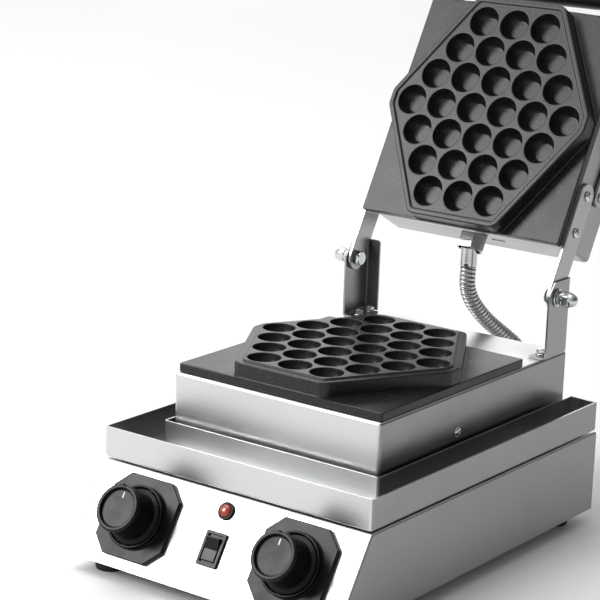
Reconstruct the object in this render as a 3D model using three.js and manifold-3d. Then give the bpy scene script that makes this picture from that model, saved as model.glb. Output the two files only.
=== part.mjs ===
// A table-top bubble waffle maker: a stainless base with a drip tray, a heating housing that
// carries the lower plate, and a lid with the upper plate that swings up and back on two flat arms.
// Millimetres, X to the right, Y to the back, Z up. It rests with the lid open.
import * as THREE from "three";
import { mergeVertices } from "three/addons/utils/BufferGeometryUtils.js";
import Module from "manifold-3d";

const wasm = await Module();
wasm.setup();

// Clearances that the whole machine shares
const seatGap = 0.3; // air between two pieces that rest on each other
const overrun = 2; // how far a cutting solid passes the face that it cuts
const sheetWall = 1.5; // stainless sheet of the base, housing, tray and lid cover

// Cups and plates
const cupPitch = 34;
const rowCounts = [3, 4, 5, 6, 5, 4, 3];
const cupMouthRadius = 15;
const cupShoulderRadius = 13.2;
const cupShoulderDepth = 7.5;
const cupFloorRadius = 8.8;
const cupDepth = 13;
const fieldMargin = 2.7; // from a mouth's edge to the edge of the cup field
const rimWidth = 7; // band round the cup field, low on the lower plate and proud on the upper one
const rimStep = 1.5;
const rimClearance = 2;
const blockHeight = 15;
const blockCornerRadius = 6;
const blockEdgeRadius = 1.2;
const blockSideInset = 1;
const slabMargin = 10; // from the outermost cups' mouths to the slab's side
const slabLip = 0.5;
const slabThickness = 7.5;
const slabCornerRadius = 2.5;
const slabEdgeRadius = 0.8;
const plateGap = 0.5; // between the two cup fields when the lid is shut

// Feet and base
const footHeight = 14;
const footRadius = 15;
const footWaist = 12.5;
const footInset = 26;
const baseHeight = 76.5;
const baseRearMargin = 9;
const baseFrontInset = 1.5;
const panelAngle = THREE.MathUtils.degToRad(58);
const floorThickness = 1.5;
const ventLength = 40;
const ventWidth = 4;
const ventPitch = 14;
const ventCount = 6;
const deckOpeningInset = 14;
const runnerHeight = 1.5;
const runnerWidth = 6;

// Drip tray
const trayClearance = 4; // at the housing's sides
const trayFrontClearance = 5.5;
const traySideWidth = 29;
const trayFrontWidth = 49.5;
const trayHeight = 28;
const trayRearInset = 5;
const trayCornerRadius = 2.5;

// Heating housing
const housingMargin = 1.5; // past the slab's sides
const housingFrontMargin = 3.5;
const housingRearDeck = 77;
const housingHeight = 74;
const housingCornerRadius = 3.4;
const housingBendRadius = 2.8;
const heaterOpeningMargin = 5; // past the insulation's sides
const housingScrewHeight = 39; // above the base's deck
const housingScrewBack = 2.5; // behind the plate's centre

// Hinge
const openAngle = THREE.MathUtils.degToRad(118.85);
const pivotBack = 158; // behind the plate's centre
const pivotRise = 35.5; // above the lower plate's face
const armThickness = 3;
const armHalfWidth = 12;
const armFrontBack = 58; // place of the arm's front end with the lid shut
const armFrontRise = 35.5;
const armScrewShares = [0, 0.365];
const bracketThickness = 2;
const bracketBendRadius = 3.5;
const bracketFrontReach = 14;
const bracketRise = 15; // above the pivot
const bracketCornerRun = 10;
const bracketCornerDrop = 11.6;
const bracketFootReach = 16.6;
const bracketFlangeReach = 14;
const bracketFlangeCorner = 4;
const bracketScrewInset = 9.5;
const bracketScrewBacks = [11, 29];

// Pivot bolt and its nuts
const boltRadius = 4;
const boltHeadHeight = 5.3;
const washerRadius = 8.5;
const washerThickness = 1.6;
const nutHalfFlats = 6.5;
const nutHeight = 5.5;
const capNutHeight = 13;
const capNutFlatHeight = 6;
const capNutBoreDepth = 7.5;

// Cross-head pan screws, and the nuts on the bracket feet
const screwHeadRadius = 4.8;
const screwHeadHeight = 2.6;
const screwShankRadius = 2.4;
const screwShankLength = 10;
const crossLength = 4.6;
const crossWidth = 1.1;
const crossDepth = 1.4;
const footNutHalfFlats = 4;
const footNutHeight = 4;
const footWasherRadius = 5.2;
const footWasherThickness = 1;

// Lid
const coverInset = 0.4; // of the cover's sides from the plate's
const coverFront = 113;
const coverRear = 109;
const coverRise = 84; // top of the cover above the upper plate's face
const coverCornerRadius = 4.5;
const coverBendRadius = 4;
const frameThickness = 2.4;
const frameInset = 12;
const rearSlotRight = 23;
const rearSlotRise = 60;
const rearSlotLength = 13;
const rearSlotHeight = 3;

// Handle
const barThickness = 3;
const barHalfWidth = 9.5;
const barRearBack = 50;
const barRise = 60.5;
const barFront = 152;
const gripRadius = 14.5;
const gripEndRadius = 12;
const gripEndLength = 9;
const gripBoreRadius = 2.7;
const gripBoreDepth = 12;

// Heating elements and insulation
const elementRadius = 4;
const elementLoopRadius = 66;
const elementTailLength = 30;
const elementTurnShare = 0.84; // of a whole turn
const insulationInset = 18; // of the insulation's sides from the slab's
const insulationThickness = 12;

// Conduit between the lid and the base
const glandRise = 50; // above the upper plate's face
const glandHalfFlats = 12.5;
const glandHeight = 16.5;
const glandBoreRadius = 11;
const glandSpigotRadius = 9;
const glandSpigotLength = 8;
const ferruleRadius = 8.2;
const ferruleLength = 19;
const ferruleTilt = THREE.MathUtils.degToRad(28);
const ferruleInsertion = 3.4;
const hoseCrestRadius = 7.9;
const hoseValleyRadius = 6.8;
const hoseBoreRadius = 5.6;
const ribCount = 30;
const ribSides = 8;
const ribsPerBoreRing = 5;
const elbowRadius = 8.8;
const elbowBendRadius = 22;
const elbowRun = 11; // straight stretch from the nut to the bend
const elbowStub = 3; // straight stretch above the bend
const elbowRight = 35;
const elbowDrop = 35; // below the deck
// The hose's route from the end of the ferrule's straight run to the start of the elbow's, with
// its heights above the deck
const conduitRoute = [
  [0.5, 188, 113.5],
  [2.2, 192.5, 103.5],
  [4.8, 200, 93.5],
  [8, 209, 83.5],
  [13, 219.5, 73.5],
  [19, 229, 64.5],
  [25, 237, 56],
  [30.5, 243.7, 45.5],
  [34, 248, 33.5],
];

// Front panel
const controlInset = 60.5; // of the knobs' axes from the base's sides
const bezelTopMargin = 6.1; // from the panel's top edge, along the slope
const bezelBottomMargin = 9.3;
const bezelCornerCut = 14.5;
const bezelThickness = 4;
const bezelCollarRadius = 28.5;
const bezelCollarHeight = 5;
const bezelEdgeRadius = 0.8;
const spindleRadius = 3.5;
const spindleHoleRadius = 4.2;
const spindleReach = 8; // behind the panel
const knobSkirtRadius = 25.5;
const knobSkirtHeight = 5;
const knobSkirtWallShare = 0.7; // of the skirt's height, below its slope
const knobRadius = 21.5;
const knobWaist = 20.5;
const knobHeight = 31.4;
const knobRimWidth = 4.4;
const knobEdge = 1.6;
const knobRecess = 3;
const pointerWidth = 3;
const pointerDepth = 1.2;
const timerHalfWidth = 22;
const thermostatRadius = 24;
const controlFloorGap = 0.5; // from the timer's and thermostat's lowest corners to the floor plate
const lampDrop = 15.5;
const lampFlangeRadius = 8;
const lampFlangeHeight = 1.8;
const lampLensRadius = 5.6;
const lampLensHeight = 4.5;
const lampBodyRadius = 5;
const lampBodyLength = 16;
const rockerLowering = 6.5; // below the level of the knobs, along the slope
const rockerHalfWidth = 11;
const rockerHalfHeight = 15.5;
const rockerFlange = 2;
const rockerBodyInset = 1.6;
const rockerBodyDepth = 16;
const keyHalfWidth = 7;
const keyHalfHeight = 10.6;
const keyRunning = 0.9; // air round the key
const keyRise = 3.6;
const keyDip = 1.8;
const keyDepth = 6;
const keyRootShare = 0.8; // of the key's half height, at its bottom
const keyTilt = THREE.MathUtils.degToRad(9);

// Mains cable gland on the back
const mainsInset = 49.5; // from the base's left side
const mainsRadius = 9;
const mainsFlangeRadius = 13;
const mainsFlangeHeight = 4;
const mainsLength = 18;
const mainsBoreRadius = 4.5;

// Places worked out from the sizes above
const edgeDistance = cupMouthRadius + fieldMargin + rimWidth; // outer cup centres to block's edge
const rowSpacing = cupPitch * Math.sin(Math.PI / 3);
const flatDistance = ((rowCounts.length - 1) / 2) * rowSpacing + edgeDistance;
const longestCount = Math.max(...rowCounts);
const slantDistance = ((longestCount - 1) / 2) * cupPitch * Math.sin(Math.PI / 3) + edgeDistance;
const slabHalfWidth = ((longestCount - 1) / 2) * cupPitch + cupMouthRadius + slabMargin;
const slabHalfDepth = flatDistance + slabLip;
const deckZ = footHeight + baseHeight;
const housingTopZ = deckZ + seatGap + housingHeight;
const plateFaceZ = housingTopZ + seatGap + slabThickness + blockHeight;
const housingHalfWidth = slabHalfWidth + housingMargin;
const housingFront = -slabHalfDepth - housingFrontMargin;
const housingRear = slabHalfDepth + housingRearDeck;
const trayInnerHalfWidth = housingHalfWidth + trayClearance;
const trayInnerFront = housingFront - trayFrontClearance;
const trayOuterFront = trayInnerFront - trayFrontWidth;
const baseHalfWidth = trayInnerHalfWidth + traySideWidth;
const baseRear = housingRear + baseRearMargin;
const trayRear = baseRear - trayRearInset;
const baseFrontTop = trayOuterFront + baseFrontInset;
const trayBottomZ = deckZ + runnerHeight + seatGap;
const panelSlope = baseHeight / Math.sin(panelAngle);
const bezelHalfWidth = (panelSlope - bezelTopMargin - bezelBottomMargin) / 2;
const controlDrop = bezelTopMargin + bezelHalfWidth; // down the slope from its top edge
const controlRight = baseHalfWidth - controlInset;
const rockerDrop = controlDrop + rockerLowering;
const elbowHeight = deckZ - elbowDrop;
const mainsRight = mainsInset - baseHalfWidth;
const insulationHalfWidth = slabHalfWidth - insulationInset;
const pivotZ = plateFaceZ + pivotRise;
const upperFaceZ = plateFaceZ + plateGap; // with the lid shut
const upperSlabTopZ = upperFaceZ + blockHeight + slabThickness;
const frameTopZ = upperSlabTopZ + seatGap + frameThickness;
const coverBottomZ = frameTopZ + seatGap;
const coverTopZ = upperFaceZ + coverRise;
const coverHalfWidth = slabHalfWidth - coverInset;
const armInner = slabHalfWidth + seatGap;
const armOuter = armInner + armThickness;
const bracketInner = armOuter + seatGap;
const bracketOuter = bracketInner + bracketThickness;
const barOuter = armInner + barThickness;
const armFrontZ = plateFaceZ + armFrontRise;
const barZ = plateFaceZ + barRise;

const steel = { color: 0xb9bbbb, roughness: 0.34, metalness: 1 };
const chrome = { color: 0xd8dadb, roughness: 0.16, metalness: 1 };
const castBlack = { color: 0x2b2b2c, roughness: 0.55, metalness: 0.2 };
const mouldedBlack = { color: 0x1d1e1f, roughness: 0.42, metalness: 0 };
const rubberBlack = { color: 0x161616, roughness: 0.8, metalness: 0 };
const wool = { color: 0xd9d4c4, roughness: 0.95, metalness: 0 };
const lens = { color: 0xc2501e, roughness: 0.2, metalness: 0 };

// A closed mesh as a solid that can be joined and cut.
function solid(geometry) {
  const bare = geometry.clone();
  bare.deleteAttribute("normal");
  bare.deleteAttribute("uv");
  const merged = mergeVertices(bare);
  return new wasm.Manifold(
    new wasm.Mesh({
      numProp: 3,
      vertProperties: merged.attributes.position.array,
      triVerts: new Uint32Array(merged.index.array),
    }),
  );
}

function geometryOf(made) {
  const mesh = made.getMesh();
  const geometry = new THREE.BufferGeometry();
  geometry.setAttribute("position", new THREE.BufferAttribute(mesh.vertProperties, 3));
  geometry.setIndex(new THREE.BufferAttribute(mesh.triVerts, 1));
  geometry.computeVertexNormals();
  return geometry;
}

function piece(name, shape, finish) {
  const geometry = shape.isBufferGeometry ? shape : geometryOf(shape);
  const mesh = new THREE.Mesh(geometry, new THREE.MeshStandardMaterial(finish));
  mesh.name = name;
  return mesh;
}

// A solid block between two corners.
function block(x0, x1, y0, y1, z0, z1) {
  const geometry = new THREE.BoxGeometry(Math.abs(x1 - x0), y1 - y0, z1 - z0);
  geometry.translate((x0 + x1) / 2, (y0 + y1) / 2, (z0 + z1) / 2);
  return solid(geometry);
}

// The four straight sides of a rectangle, each as its outward angle and distance from the origin.
function rectangle(x0, x1, y0, y1) {
  return [
    { angle: 0, distance: x1 },
    { angle: Math.PI / 2, distance: y1 },
    { angle: Math.PI, distance: -x0 },
    { angle: (3 * Math.PI) / 2, distance: -y0 },
  ];
}

// Where two straight sides meet once both have moved inwards.
function meeting(first, second, inset) {
  const a = first.distance - inset;
  const b = second.distance - inset;
  const turn = Math.sin(second.angle - first.angle);
  return new THREE.Vector2(
    (a * Math.sin(second.angle) - b * Math.sin(first.angle)) / turn,
    (b * Math.cos(first.angle) - a * Math.cos(second.angle)) / turn,
  );
}

// The outline of a convex shape, moved inwards, with its corners rounded.
function outline(sides, inset, radius, steps = 3) {
  const points = [];
  sides.forEach((side, i) => {
    const next = sides[(i + 1) % sides.length];
    const sweep = (next.angle - side.angle + 2 * Math.PI) % (2 * Math.PI);
    const centre = meeting(side, next, inset + radius);
    for (let k = 0; k <= steps; k++) {
      const angle = side.angle + (sweep * k) / steps;
      const x = centre.x + radius * Math.cos(angle);
      points.push(new THREE.Vector2(x, centre.y + radius * Math.sin(angle)));
    }
  });
  return points;
}

// Leaves out the sides that lie beyond the rounded corner of their two neighbours.
function reaching(sides, radius) {
  return sides.filter((side, i) => {
    const before = sides.at(i - 1);
    const after = sides[(i + 1) % sides.length];
    const centre = meeting(before, after, radius);
    const x = centre.x * Math.cos(side.angle);
    return x + centre.y * Math.sin(side.angle) + radius > side.distance;
  });
}

function sharpOutline(sides, inset = 0) {
  return sides.map((side, i) => meeting(side, sides[(i + 1) % sides.length], inset));
}

// A solid from outlines of like count, each at its own height, closed at both ends.
function stacked(levels) {
  const count = levels[0].points.length;
  const position = levels.flatMap((level) => level.points.flatMap((p) => [p.x, p.y, level.z]));
  const index = [];
  for (let k = 0; k + 1 < levels.length; k++)
    for (let i = 0; i < count; i++) {
      const a = k * count + i;
      const b = k * count + ((i + 1) % count);
      index.push(a, b, b + count, a, b + count, a + count);
    }
  const top = (levels.length - 1) * count;
  for (const [a, b, c] of THREE.ShapeUtils.triangulateShape(levels[0].points, []))
    index.push(a, c, b);
  for (const [a, b, c] of THREE.ShapeUtils.triangulateShape(levels.at(-1).points, []))
    index.push(top + a, top + b, top + c);
  const geometry = new THREE.BufferGeometry();
  geometry.setAttribute("position", new THREE.Float32BufferAttribute(position, 3));
  geometry.setIndex(index);
  return solid(geometry);
}

// A straight-sided block on an outline, with its top edge rounded over.
function roundedBlock(sides, inset, cornerRadius, z0, z1, edgeRadius) {
  const steps = 3;
  const levels = [{ points: outline(sides, inset, cornerRadius), z: z0 }];
  for (let k = 0; k <= steps; k++) {
    const angle = ((Math.PI / 2) * k) / steps;
    const drawn = edgeRadius * (1 - Math.cos(angle));
    levels.push({
      points: outline(sides, inset + drawn, cornerRadius - drawn),
      z: z1 - edgeRadius + edgeRadius * Math.sin(angle),
    });
  }
  return stacked(levels);
}

function straightBlock(points, z0, z1) {
  return stacked([
    { points, z: z0 },
    { points, z: z1 },
  ]);
}

// An outline drawn in the plane of Y and Z, made into a plate between two places along X.
function plateAcross(points, xA, xB) {
  const shape = new THREE.Shape(points);
  const depth = Math.abs(xB - xA);
  const geometry = new THREE.ExtrudeGeometry(shape, { depth, bevelEnabled: false });
  const turn = new THREE.Matrix4().makeBasis(
    new THREE.Vector3(0, 1, 0),
    new THREE.Vector3(0, 0, 1),
    new THREE.Vector3(1, 0, 0),
  );
  geometry.applyMatrix4(turn);
  geometry.translate(Math.min(xA, xB), 0, 0);
  return solid(geometry);
}

// A turned shape: pairs of radius and height along Z, from the axis back to the axis.
function turned(profile, sides) {
  const points = profile.map(([radius, height]) => new THREE.Vector2(radius, height));
  const geometry = new THREE.LatheGeometry(points, sides);
  geometry.rotateX(Math.PI / 2);
  return solid(geometry);
}

function rod(radius, z0, z1, sides = 12) {
  return turned(
    [
      [0, z0],
      [radius, z0],
      [radius, z1],
      [0, z1],
    ],
    sides,
  );
}

// A hexagonal prism with two of its corners on the X axis.
function hexagon(halfFlats, z0, z1) {
  const sides = [0, 1, 2, 3, 4, 5].map((i) => ({
    angle: ((2 * i + 1) * Math.PI) / 6,
    distance: halfFlats,
  }));
  return straightBlock(sharpOutline(sides), z0, z1);
}

// Moves a solid that was made along Z so that it points along X, right or left.
function alongX(made, side, x, y, z) {
  return made.rotate([0, side * 90, 0]).translate([x, y, z]);
}

function tube(curve, radius, sides, steps) {
  const ring = [];
  for (let i = 0; i < sides; i++) {
    const angle = (2 * Math.PI * i) / sides;
    ring.push(new THREE.Vector2(radius * Math.cos(angle), radius * Math.sin(angle)));
  }
  const shape = new THREE.Shape(ring);
  return new THREE.ExtrudeGeometry(shape, { steps, extrudePath: curve, bevelEnabled: false });
}

// Plates

// The plate block's outline: a hexagon that follows the cup lattice, clipped at the slab's sides.
const blockPlanes = [
  { angle: 0, distance: slabHalfWidth - blockSideInset },
  { angle: Math.PI / 6, distance: slantDistance },
  { angle: Math.PI / 2, distance: flatDistance },
  { angle: (5 * Math.PI) / 6, distance: slantDistance },
  { angle: Math.PI, distance: slabHalfWidth - blockSideInset },
  { angle: (7 * Math.PI) / 6, distance: slantDistance },
  { angle: (3 * Math.PI) / 2, distance: flatDistance },
  { angle: (11 * Math.PI) / 6, distance: slantDistance },
];
const blockSides = reaching(blockPlanes, blockCornerRadius);

function cupPlaces() {
  return rowCounts.flatMap((count, row) =>
    Array.from({ length: count }, (_, i) => [
      (i - (count - 1) / 2) * cupPitch,
      (row - (rowCounts.length - 1) / 2) * rowSpacing,
    ]),
  );
}

function cups() {
  const cup = turned(
    [
      [0, -cupDepth],
      [cupFloorRadius, -cupDepth],
      [cupShoulderRadius, -cupShoulderDepth],
      [cupMouthRadius, 0],
      [cupMouthRadius, overrun],
      [0, overrun],
    ],
    12,
  );
  return wasm.Manifold.union(cupPlaces().map(([x, y]) => cup.translate([x, y, 0])));
}

// A plate lying with its cups up and its cup field at height 0.
function plate(bandStep, fieldInset) {
  const slabSides = rectangle(-slabHalfWidth, slabHalfWidth, -slabHalfDepth, slabHalfDepth);
  const slab = roundedBlock(
    slabSides,
    0,
    slabCornerRadius,
    -blockHeight - slabThickness,
    -blockHeight,
    slabEdgeRadius,
  );
  const bandZ = Math.max(bandStep, 0);
  const raised = roundedBlock(
    blockSides,
    0,
    blockCornerRadius,
    -blockHeight - slabThickness / 2,
    bandZ,
    blockEdgeRadius,
  );
  const field = outline(blockSides, fieldInset, blockCornerRadius - blockEdgeRadius);
  const band = outline(blockSides, -overrun, blockCornerRadius);
  let made = slab.add(raised);
  if (bandStep > 0) made = made.subtract(straightBlock(field, 0, bandZ + overrun));
  else {
    const ring = straightBlock(band, bandStep, overrun);
    made = made.subtract(ring.subtract(straightBlock(field, bandStep - overrun, overrun * 2)));
  }
  return made.subtract(cups());
}

function lowerPlate() {
  const mesh = piece("lower_plate", plate(-rimStep, rimWidth), castBlack);
  mesh.position.z = plateFaceZ;
  return mesh;
}

function upperPlate() {
  const mesh = piece("upper_plate", plate(rimStep, rimWidth - rimClearance), castBlack);
  mesh.position.z = upperFaceZ;
  mesh.rotation.y = Math.PI;
  return mesh;
}

// A bent tubular element: most of a circle, with both tails running to the back.
function heatingElement(name, z) {
  const points = [];
  const turns = 24;
  const sweep = 2 * Math.PI * elementTurnShare;
  for (let i = 0; i <= turns; i++) {
    const angle = -Math.PI / 2 - sweep / 2 + (sweep * i) / turns;
    const x = elementLoopRadius * Math.cos(angle);
    points.push(new THREE.Vector3(x, elementLoopRadius * Math.sin(angle), z));
  }
  const tail = (p) => new THREE.Vector3(p.x, p.y + elementTailLength, z);
  points.unshift(tail(points[0]));
  points.push(tail(points.at(-1)));
  const curve = new THREE.CatmullRomCurve3(points, false, "chordal");
  return piece(name, tube(curve, elementRadius, 6, 44), chrome);
}

function insulation(name, z0) {
  const half = insulationHalfWidth;
  return piece(name, block(-half, half, -half, half, z0, z0 + insulationThickness), wool);
}

// Base, feet and floor

// The base's side view: bottom, back, deck and sloping front, as outward angles in Y and Z.
function baseSides() {
  const slope = Math.PI / 2 + panelAngle;
  const distance = baseFrontTop * Math.cos(slope) + deckZ * Math.sin(slope);
  return [
    { angle: 0, distance: baseRear },
    { angle: Math.PI / 2, distance: deckZ },
    { angle: slope, distance },
    { angle: (3 * Math.PI) / 2, distance: -footHeight },
  ];
}

// How far forward the base's sloping front stands at a height, measured to a wall's inner face.
function panelY(z, wall) {
  const run = (deckZ - z) / Math.tan(panelAngle);
  return baseFrontTop - run + wall / Math.sin(panelAngle);
}

function baseShell() {
  const outer = plateAcross(sharpOutline(baseSides()), -baseHalfWidth, baseHalfWidth);
  const hollowSides = baseSides().map((side, i) => ({
    ...side,
    distance: side.distance + (i === 3 ? overrun + sheetWall : 0),
  }));
  const inner = baseHalfWidth - sheetWall;
  const hollow = plateAcross(sharpOutline(hollowSides, sheetWall), -inner, inner);
  const deckOpening = block(
    -housingHalfWidth + deckOpeningInset,
    housingHalfWidth - deckOpeningInset,
    housingFront + deckOpeningInset,
    housingRear - deckOpeningInset,
    deckZ - sheetWall - overrun,
    deckZ + overrun,
  );
  const runnerX = (trayInnerHalfWidth + baseHalfWidth) / 2;
  const runners = [-1, 1].map((side) =>
    block(
      side * runnerX - runnerWidth / 2,
      side * runnerX + runnerWidth / 2,
      baseFrontTop + runnerWidth,
      trayRear,
      deckZ - sheetWall / 2,
      deckZ + runnerHeight,
    ),
  );
  const backCut = (radius, x) =>
    rod(radius, -overrun, sheetWall + overrun)
      .rotate([90, 0, 0])
      .translate([x, baseRear, elbowHeight]);
  const cuts = wasm.Manifold.union([
    hollow,
    deckOpening,
    backCut(glandSpigotRadius + seatGap, elbowRight),
    backCut(mainsRadius + seatGap, mainsRight),
    ...panelCuts(),
  ]);
  return piece("base_shell", wasm.Manifold.union([outer, ...runners]).subtract(cuts), steel);
}

// The holes that the front panel's fittings pass through.
function panelCuts() {
  const through = (made, x, drop) =>
    made
      .translate([x, -drop, 0])
      .rotate([THREE.MathUtils.radToDeg(panelAngle), 0, 0])
      .translate([0, baseFrontTop, deckZ]);
  const spindle = () => rod(spindleHoleRadius, -sheetWall - overrun, overrun);
  const lamp = rod(lampBodyRadius + seatGap, -sheetWall - overrun, overrun);
  const halfWidth = rockerHalfWidth - rockerBodyInset + seatGap;
  const halfHeight = rockerHalfHeight - rockerBodyInset + seatGap;
  const rocker = block(
    -halfWidth,
    halfWidth,
    -halfHeight,
    halfHeight,
    -sheetWall - overrun,
    overrun,
  );
  return [
    through(spindle(), -controlRight, controlDrop),
    through(spindle(), controlRight, controlDrop),
    through(lamp, 0, lampDrop),
    through(rocker, 0, rockerDrop),
  ];
}

function baseFloor() {
  const half = baseHalfWidth - sheetWall - seatGap;
  const topZ = footHeight + floorThickness;
  const front = panelY(footHeight, sheetWall) + floorThickness / Math.tan(panelAngle) + seatGap;
  const rear = baseRear - sheetWall - seatGap;
  const vents = [];
  for (const side of [-1, 1])
    for (let i = 0; i < ventCount; i++) {
      const y = (i - (ventCount - 1) / 2) * ventPitch;
      const x = side * ventLength;
      vents.push(
        block(
          x - ventLength / 2,
          x + ventLength / 2,
          y - ventWidth / 2,
          y + ventWidth / 2,
          footHeight - overrun,
          topZ + overrun,
        ),
      );
    }
  const sheet = block(-half, half, front, rear, footHeight, topZ);
  return piece("base_floor", sheet.subtract(wasm.Manifold.union(vents)), steel);
}

function feet() {
  const foot = turned(
    [
      [0, 0],
      [footWaist, 0],
      [footRadius, footHeight - seatGap],
      [0, footHeight - seatGap],
    ],
    16,
  );
  const x = baseHalfWidth - footInset;
  const places = {
    foot_front_left: [-x, panelY(footHeight, 0) + footInset],
    foot_front_right: [x, panelY(footHeight, 0) + footInset],
    foot_rear_left: [-x, baseRear - footInset],
    foot_rear_right: [x, baseRear - footInset],
  };
  return Object.entries(places).map(([name, [px, py]]) =>
    piece(name, foot.translate([px, py, 0]), rubberBlack),
  );
}

// Drip tray: two side channels joined by a front channel, open round the housing.
function dripTray() {
  const outer = roundedBlock(
    rectangle(-baseHalfWidth, baseHalfWidth, trayOuterFront, trayRear),
    0,
    trayCornerRadius,
    trayBottomZ,
    trayBottomZ + trayHeight,
    sheetWall / 3,
  );
  const notch = block(
    -trayInnerHalfWidth,
    trayInnerHalfWidth,
    trayInnerFront,
    trayRear + overrun,
    trayBottomZ - overrun,
    trayBottomZ + trayHeight + overrun,
  );
  const trough = block(
    -baseHalfWidth + sheetWall,
    baseHalfWidth - sheetWall,
    trayOuterFront + sheetWall,
    trayRear - sheetWall,
    trayBottomZ + sheetWall,
    trayBottomZ + trayHeight + overrun,
  );
  const island = block(
    -trayInnerHalfWidth - sheetWall,
    trayInnerHalfWidth + sheetWall,
    trayInnerFront - sheetWall,
    trayRear + overrun,
    trayBottomZ,
    trayBottomZ + trayHeight + overrun * 2,
  );
  return piece("drip_tray", outer.subtract(notch).subtract(trough.subtract(island)), steel);
}

// Heating housing: a folded box, open below, with an opening under the plate.
function housing() {
  const sides = rectangle(-housingHalfWidth, housingHalfWidth, housingFront, housingRear);
  const z0 = deckZ + seatGap;
  const outer = roundedBlock(sides, 0, housingCornerRadius, z0, housingTopZ, housingBendRadius);
  const hollow = block(
    -housingHalfWidth + sheetWall,
    housingHalfWidth - sheetWall,
    housingFront + sheetWall,
    housingRear - sheetWall,
    z0 - overrun,
    housingTopZ - sheetWall,
  );
  const half = insulationHalfWidth + heaterOpeningMargin;
  const lowZ = housingTopZ - sheetWall - overrun;
  const holes = [block(-half, half, -half, half, lowZ, housingTopZ + overrun)];
  for (const side of [-1, 1]) {
    holes.push(
      alongX(
        rod(screwShankRadius + seatGap, -sheetWall - overrun, overrun),
        side,
        side * housingHalfWidth,
        housingScrewBack,
        deckZ + housingScrewHeight,
      ),
    );
    for (const [x, y] of bracketScrewPlaces(side))
      holes.push(
        rod(screwShankRadius + seatGap, -sheetWall - overrun, overrun).translate([x, y, housingTopZ]),
      );
  }
  return piece("housing", outer.subtract(hollow).subtract(wasm.Manifold.union(holes)), steel);
}

// Screws

// A pan-head screw with a cross, its head's underside at height 0 and its shank pointing down.
function panScrew() {
  const made = turned(
    [
      [0, -screwShankLength],
      [screwShankRadius, -screwShankLength],
      [screwShankRadius, 0],
      [screwHeadRadius, 0],
      [screwHeadRadius, screwHeadHeight / 3],
      [screwHeadRadius * Math.cos(Math.PI / 5), screwHeadHeight * Math.sin(Math.PI / 3)],
      [screwHeadRadius / 3, screwHeadHeight],
      [0, screwHeadHeight],
    ],
    12,
  );
  const bar = (length, width) =>
    block(
      -length / 2,
      length / 2,
      -width / 2,
      width / 2,
      screwHeadHeight - crossDepth,
      screwHeadHeight + overrun,
    );
  return made.subtract(bar(crossLength, crossWidth).add(bar(crossWidth, crossLength)));
}

function bracketScrewPlaces(side) {
  const x = side * (bracketInner - bracketScrewInset);
  return bracketScrewBacks.map((back) => [x, pivotBack - bracketFrontReach + back]);
}

// A nut and washer on a threaded stud that holds the bracket's foot to the housing.
function bracketScrew(name, x, y) {
  const footTop = housingTopZ + seatGap + bracketThickness;
  const washerZ = footTop + seatGap;
  const made = rod(screwShankRadius, -screwShankLength, washerZ - footTop + footNutHeight)
    .add(rod(footWasherRadius, seatGap, seatGap + footWasherThickness))
    .add(
      hexagon(
        footNutHalfFlats,
        seatGap + footWasherThickness / 2,
        seatGap + footWasherThickness + footNutHeight,
      ),
    );
  return piece(name, made.translate([x, y, footTop]), chrome);
}

// Hinge brackets and pivots

const armTilt = Math.atan2(armFrontZ - pivotZ, pivotBack - armFrontBack);
const armLean = openAngle - Math.PI / 2 + armTilt; // from upright, with the lid open

// The back of the open arm at the bracket's top edge, where the bracket's flange stops it.
function flangeFace() {
  const up = (bracketRise + armHalfWidth * Math.sin(armLean)) / Math.cos(armLean);
  return pivotBack + armHalfWidth * Math.cos(armLean) + up * Math.sin(armLean) + seatGap;
}

function hingeBracket(name, side) {
  const footZ = housingTopZ + seatGap;
  const topZ = pivotZ + bracketRise;
  const front = pivotBack - bracketFrontReach;
  const rear = flangeFace() + bracketThickness;
  const cheek = [
    new THREE.Vector2(front, footZ),
    new THREE.Vector2(rear, footZ),
    new THREE.Vector2(rear, topZ),
    new THREE.Vector2(front + bracketCornerRun, topZ),
    new THREE.Vector2(front, topZ - bracketCornerDrop),
  ];
  const rootX = side * (bracketInner + bracketThickness / 2);
  const footX = side * (bracketInner - bracketFootReach);
  const flangeX = side * (bracketInner - bracketFlangeReach);
  const cornerX = flangeX + side * bracketFlangeCorner;
  const cornerZ = topZ - bracketFlangeCorner;
  const flangeY = rear - bracketThickness;
  const foot = block(footX, rootX, front, rear, footZ, footZ + bracketThickness);
  const flange = block(flangeX, rootX, flangeY, rear, footZ, cornerZ);
  const flangeTop = block(cornerX, rootX, flangeY, rear, cornerZ, topZ);
  const flangeCorner = rod(bracketFlangeCorner, 0, bracketThickness, 16)
    .rotate([90, 0, 0])
    .translate([cornerX, rear, cornerZ]);
  const bendX = side * (bracketOuter - bracketBendRadius);
  const bendZ = footZ + bracketBendRadius;
  const bend = rod(bracketBendRadius, -overrun, rear - front + overrun, 24)
    .rotate([90, 0, 0])
    .translate([bendX, rear, bendZ]);
  const bendCorner = block(
    bendX,
    side * (bracketOuter + overrun),
    front - overrun,
    rear + overrun,
    footZ - overrun,
    bendZ,
  ).subtract(bend);
  const plate = plateAcross(cheek, side * bracketInner, side * bracketOuter);
  const made = wasm.Manifold.union([plate, foot, flange, flangeTop, flangeCorner]);
  const bore = alongX(
    rod(boltRadius + seatGap, -bracketThickness - overrun, overrun),
    side,
    side * bracketOuter,
    pivotBack,
    pivotZ,
  );
  const studs = bracketScrewPlaces(side).map(([x, y]) =>
    rod(screwShankRadius + seatGap, footZ - overrun, footZ + bracketThickness + overrun).translate([
      x,
      y,
      0,
    ]),
  );
  return piece(name, made.subtract(wasm.Manifold.union([bendCorner, bore, ...studs])), steel);
}

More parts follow.
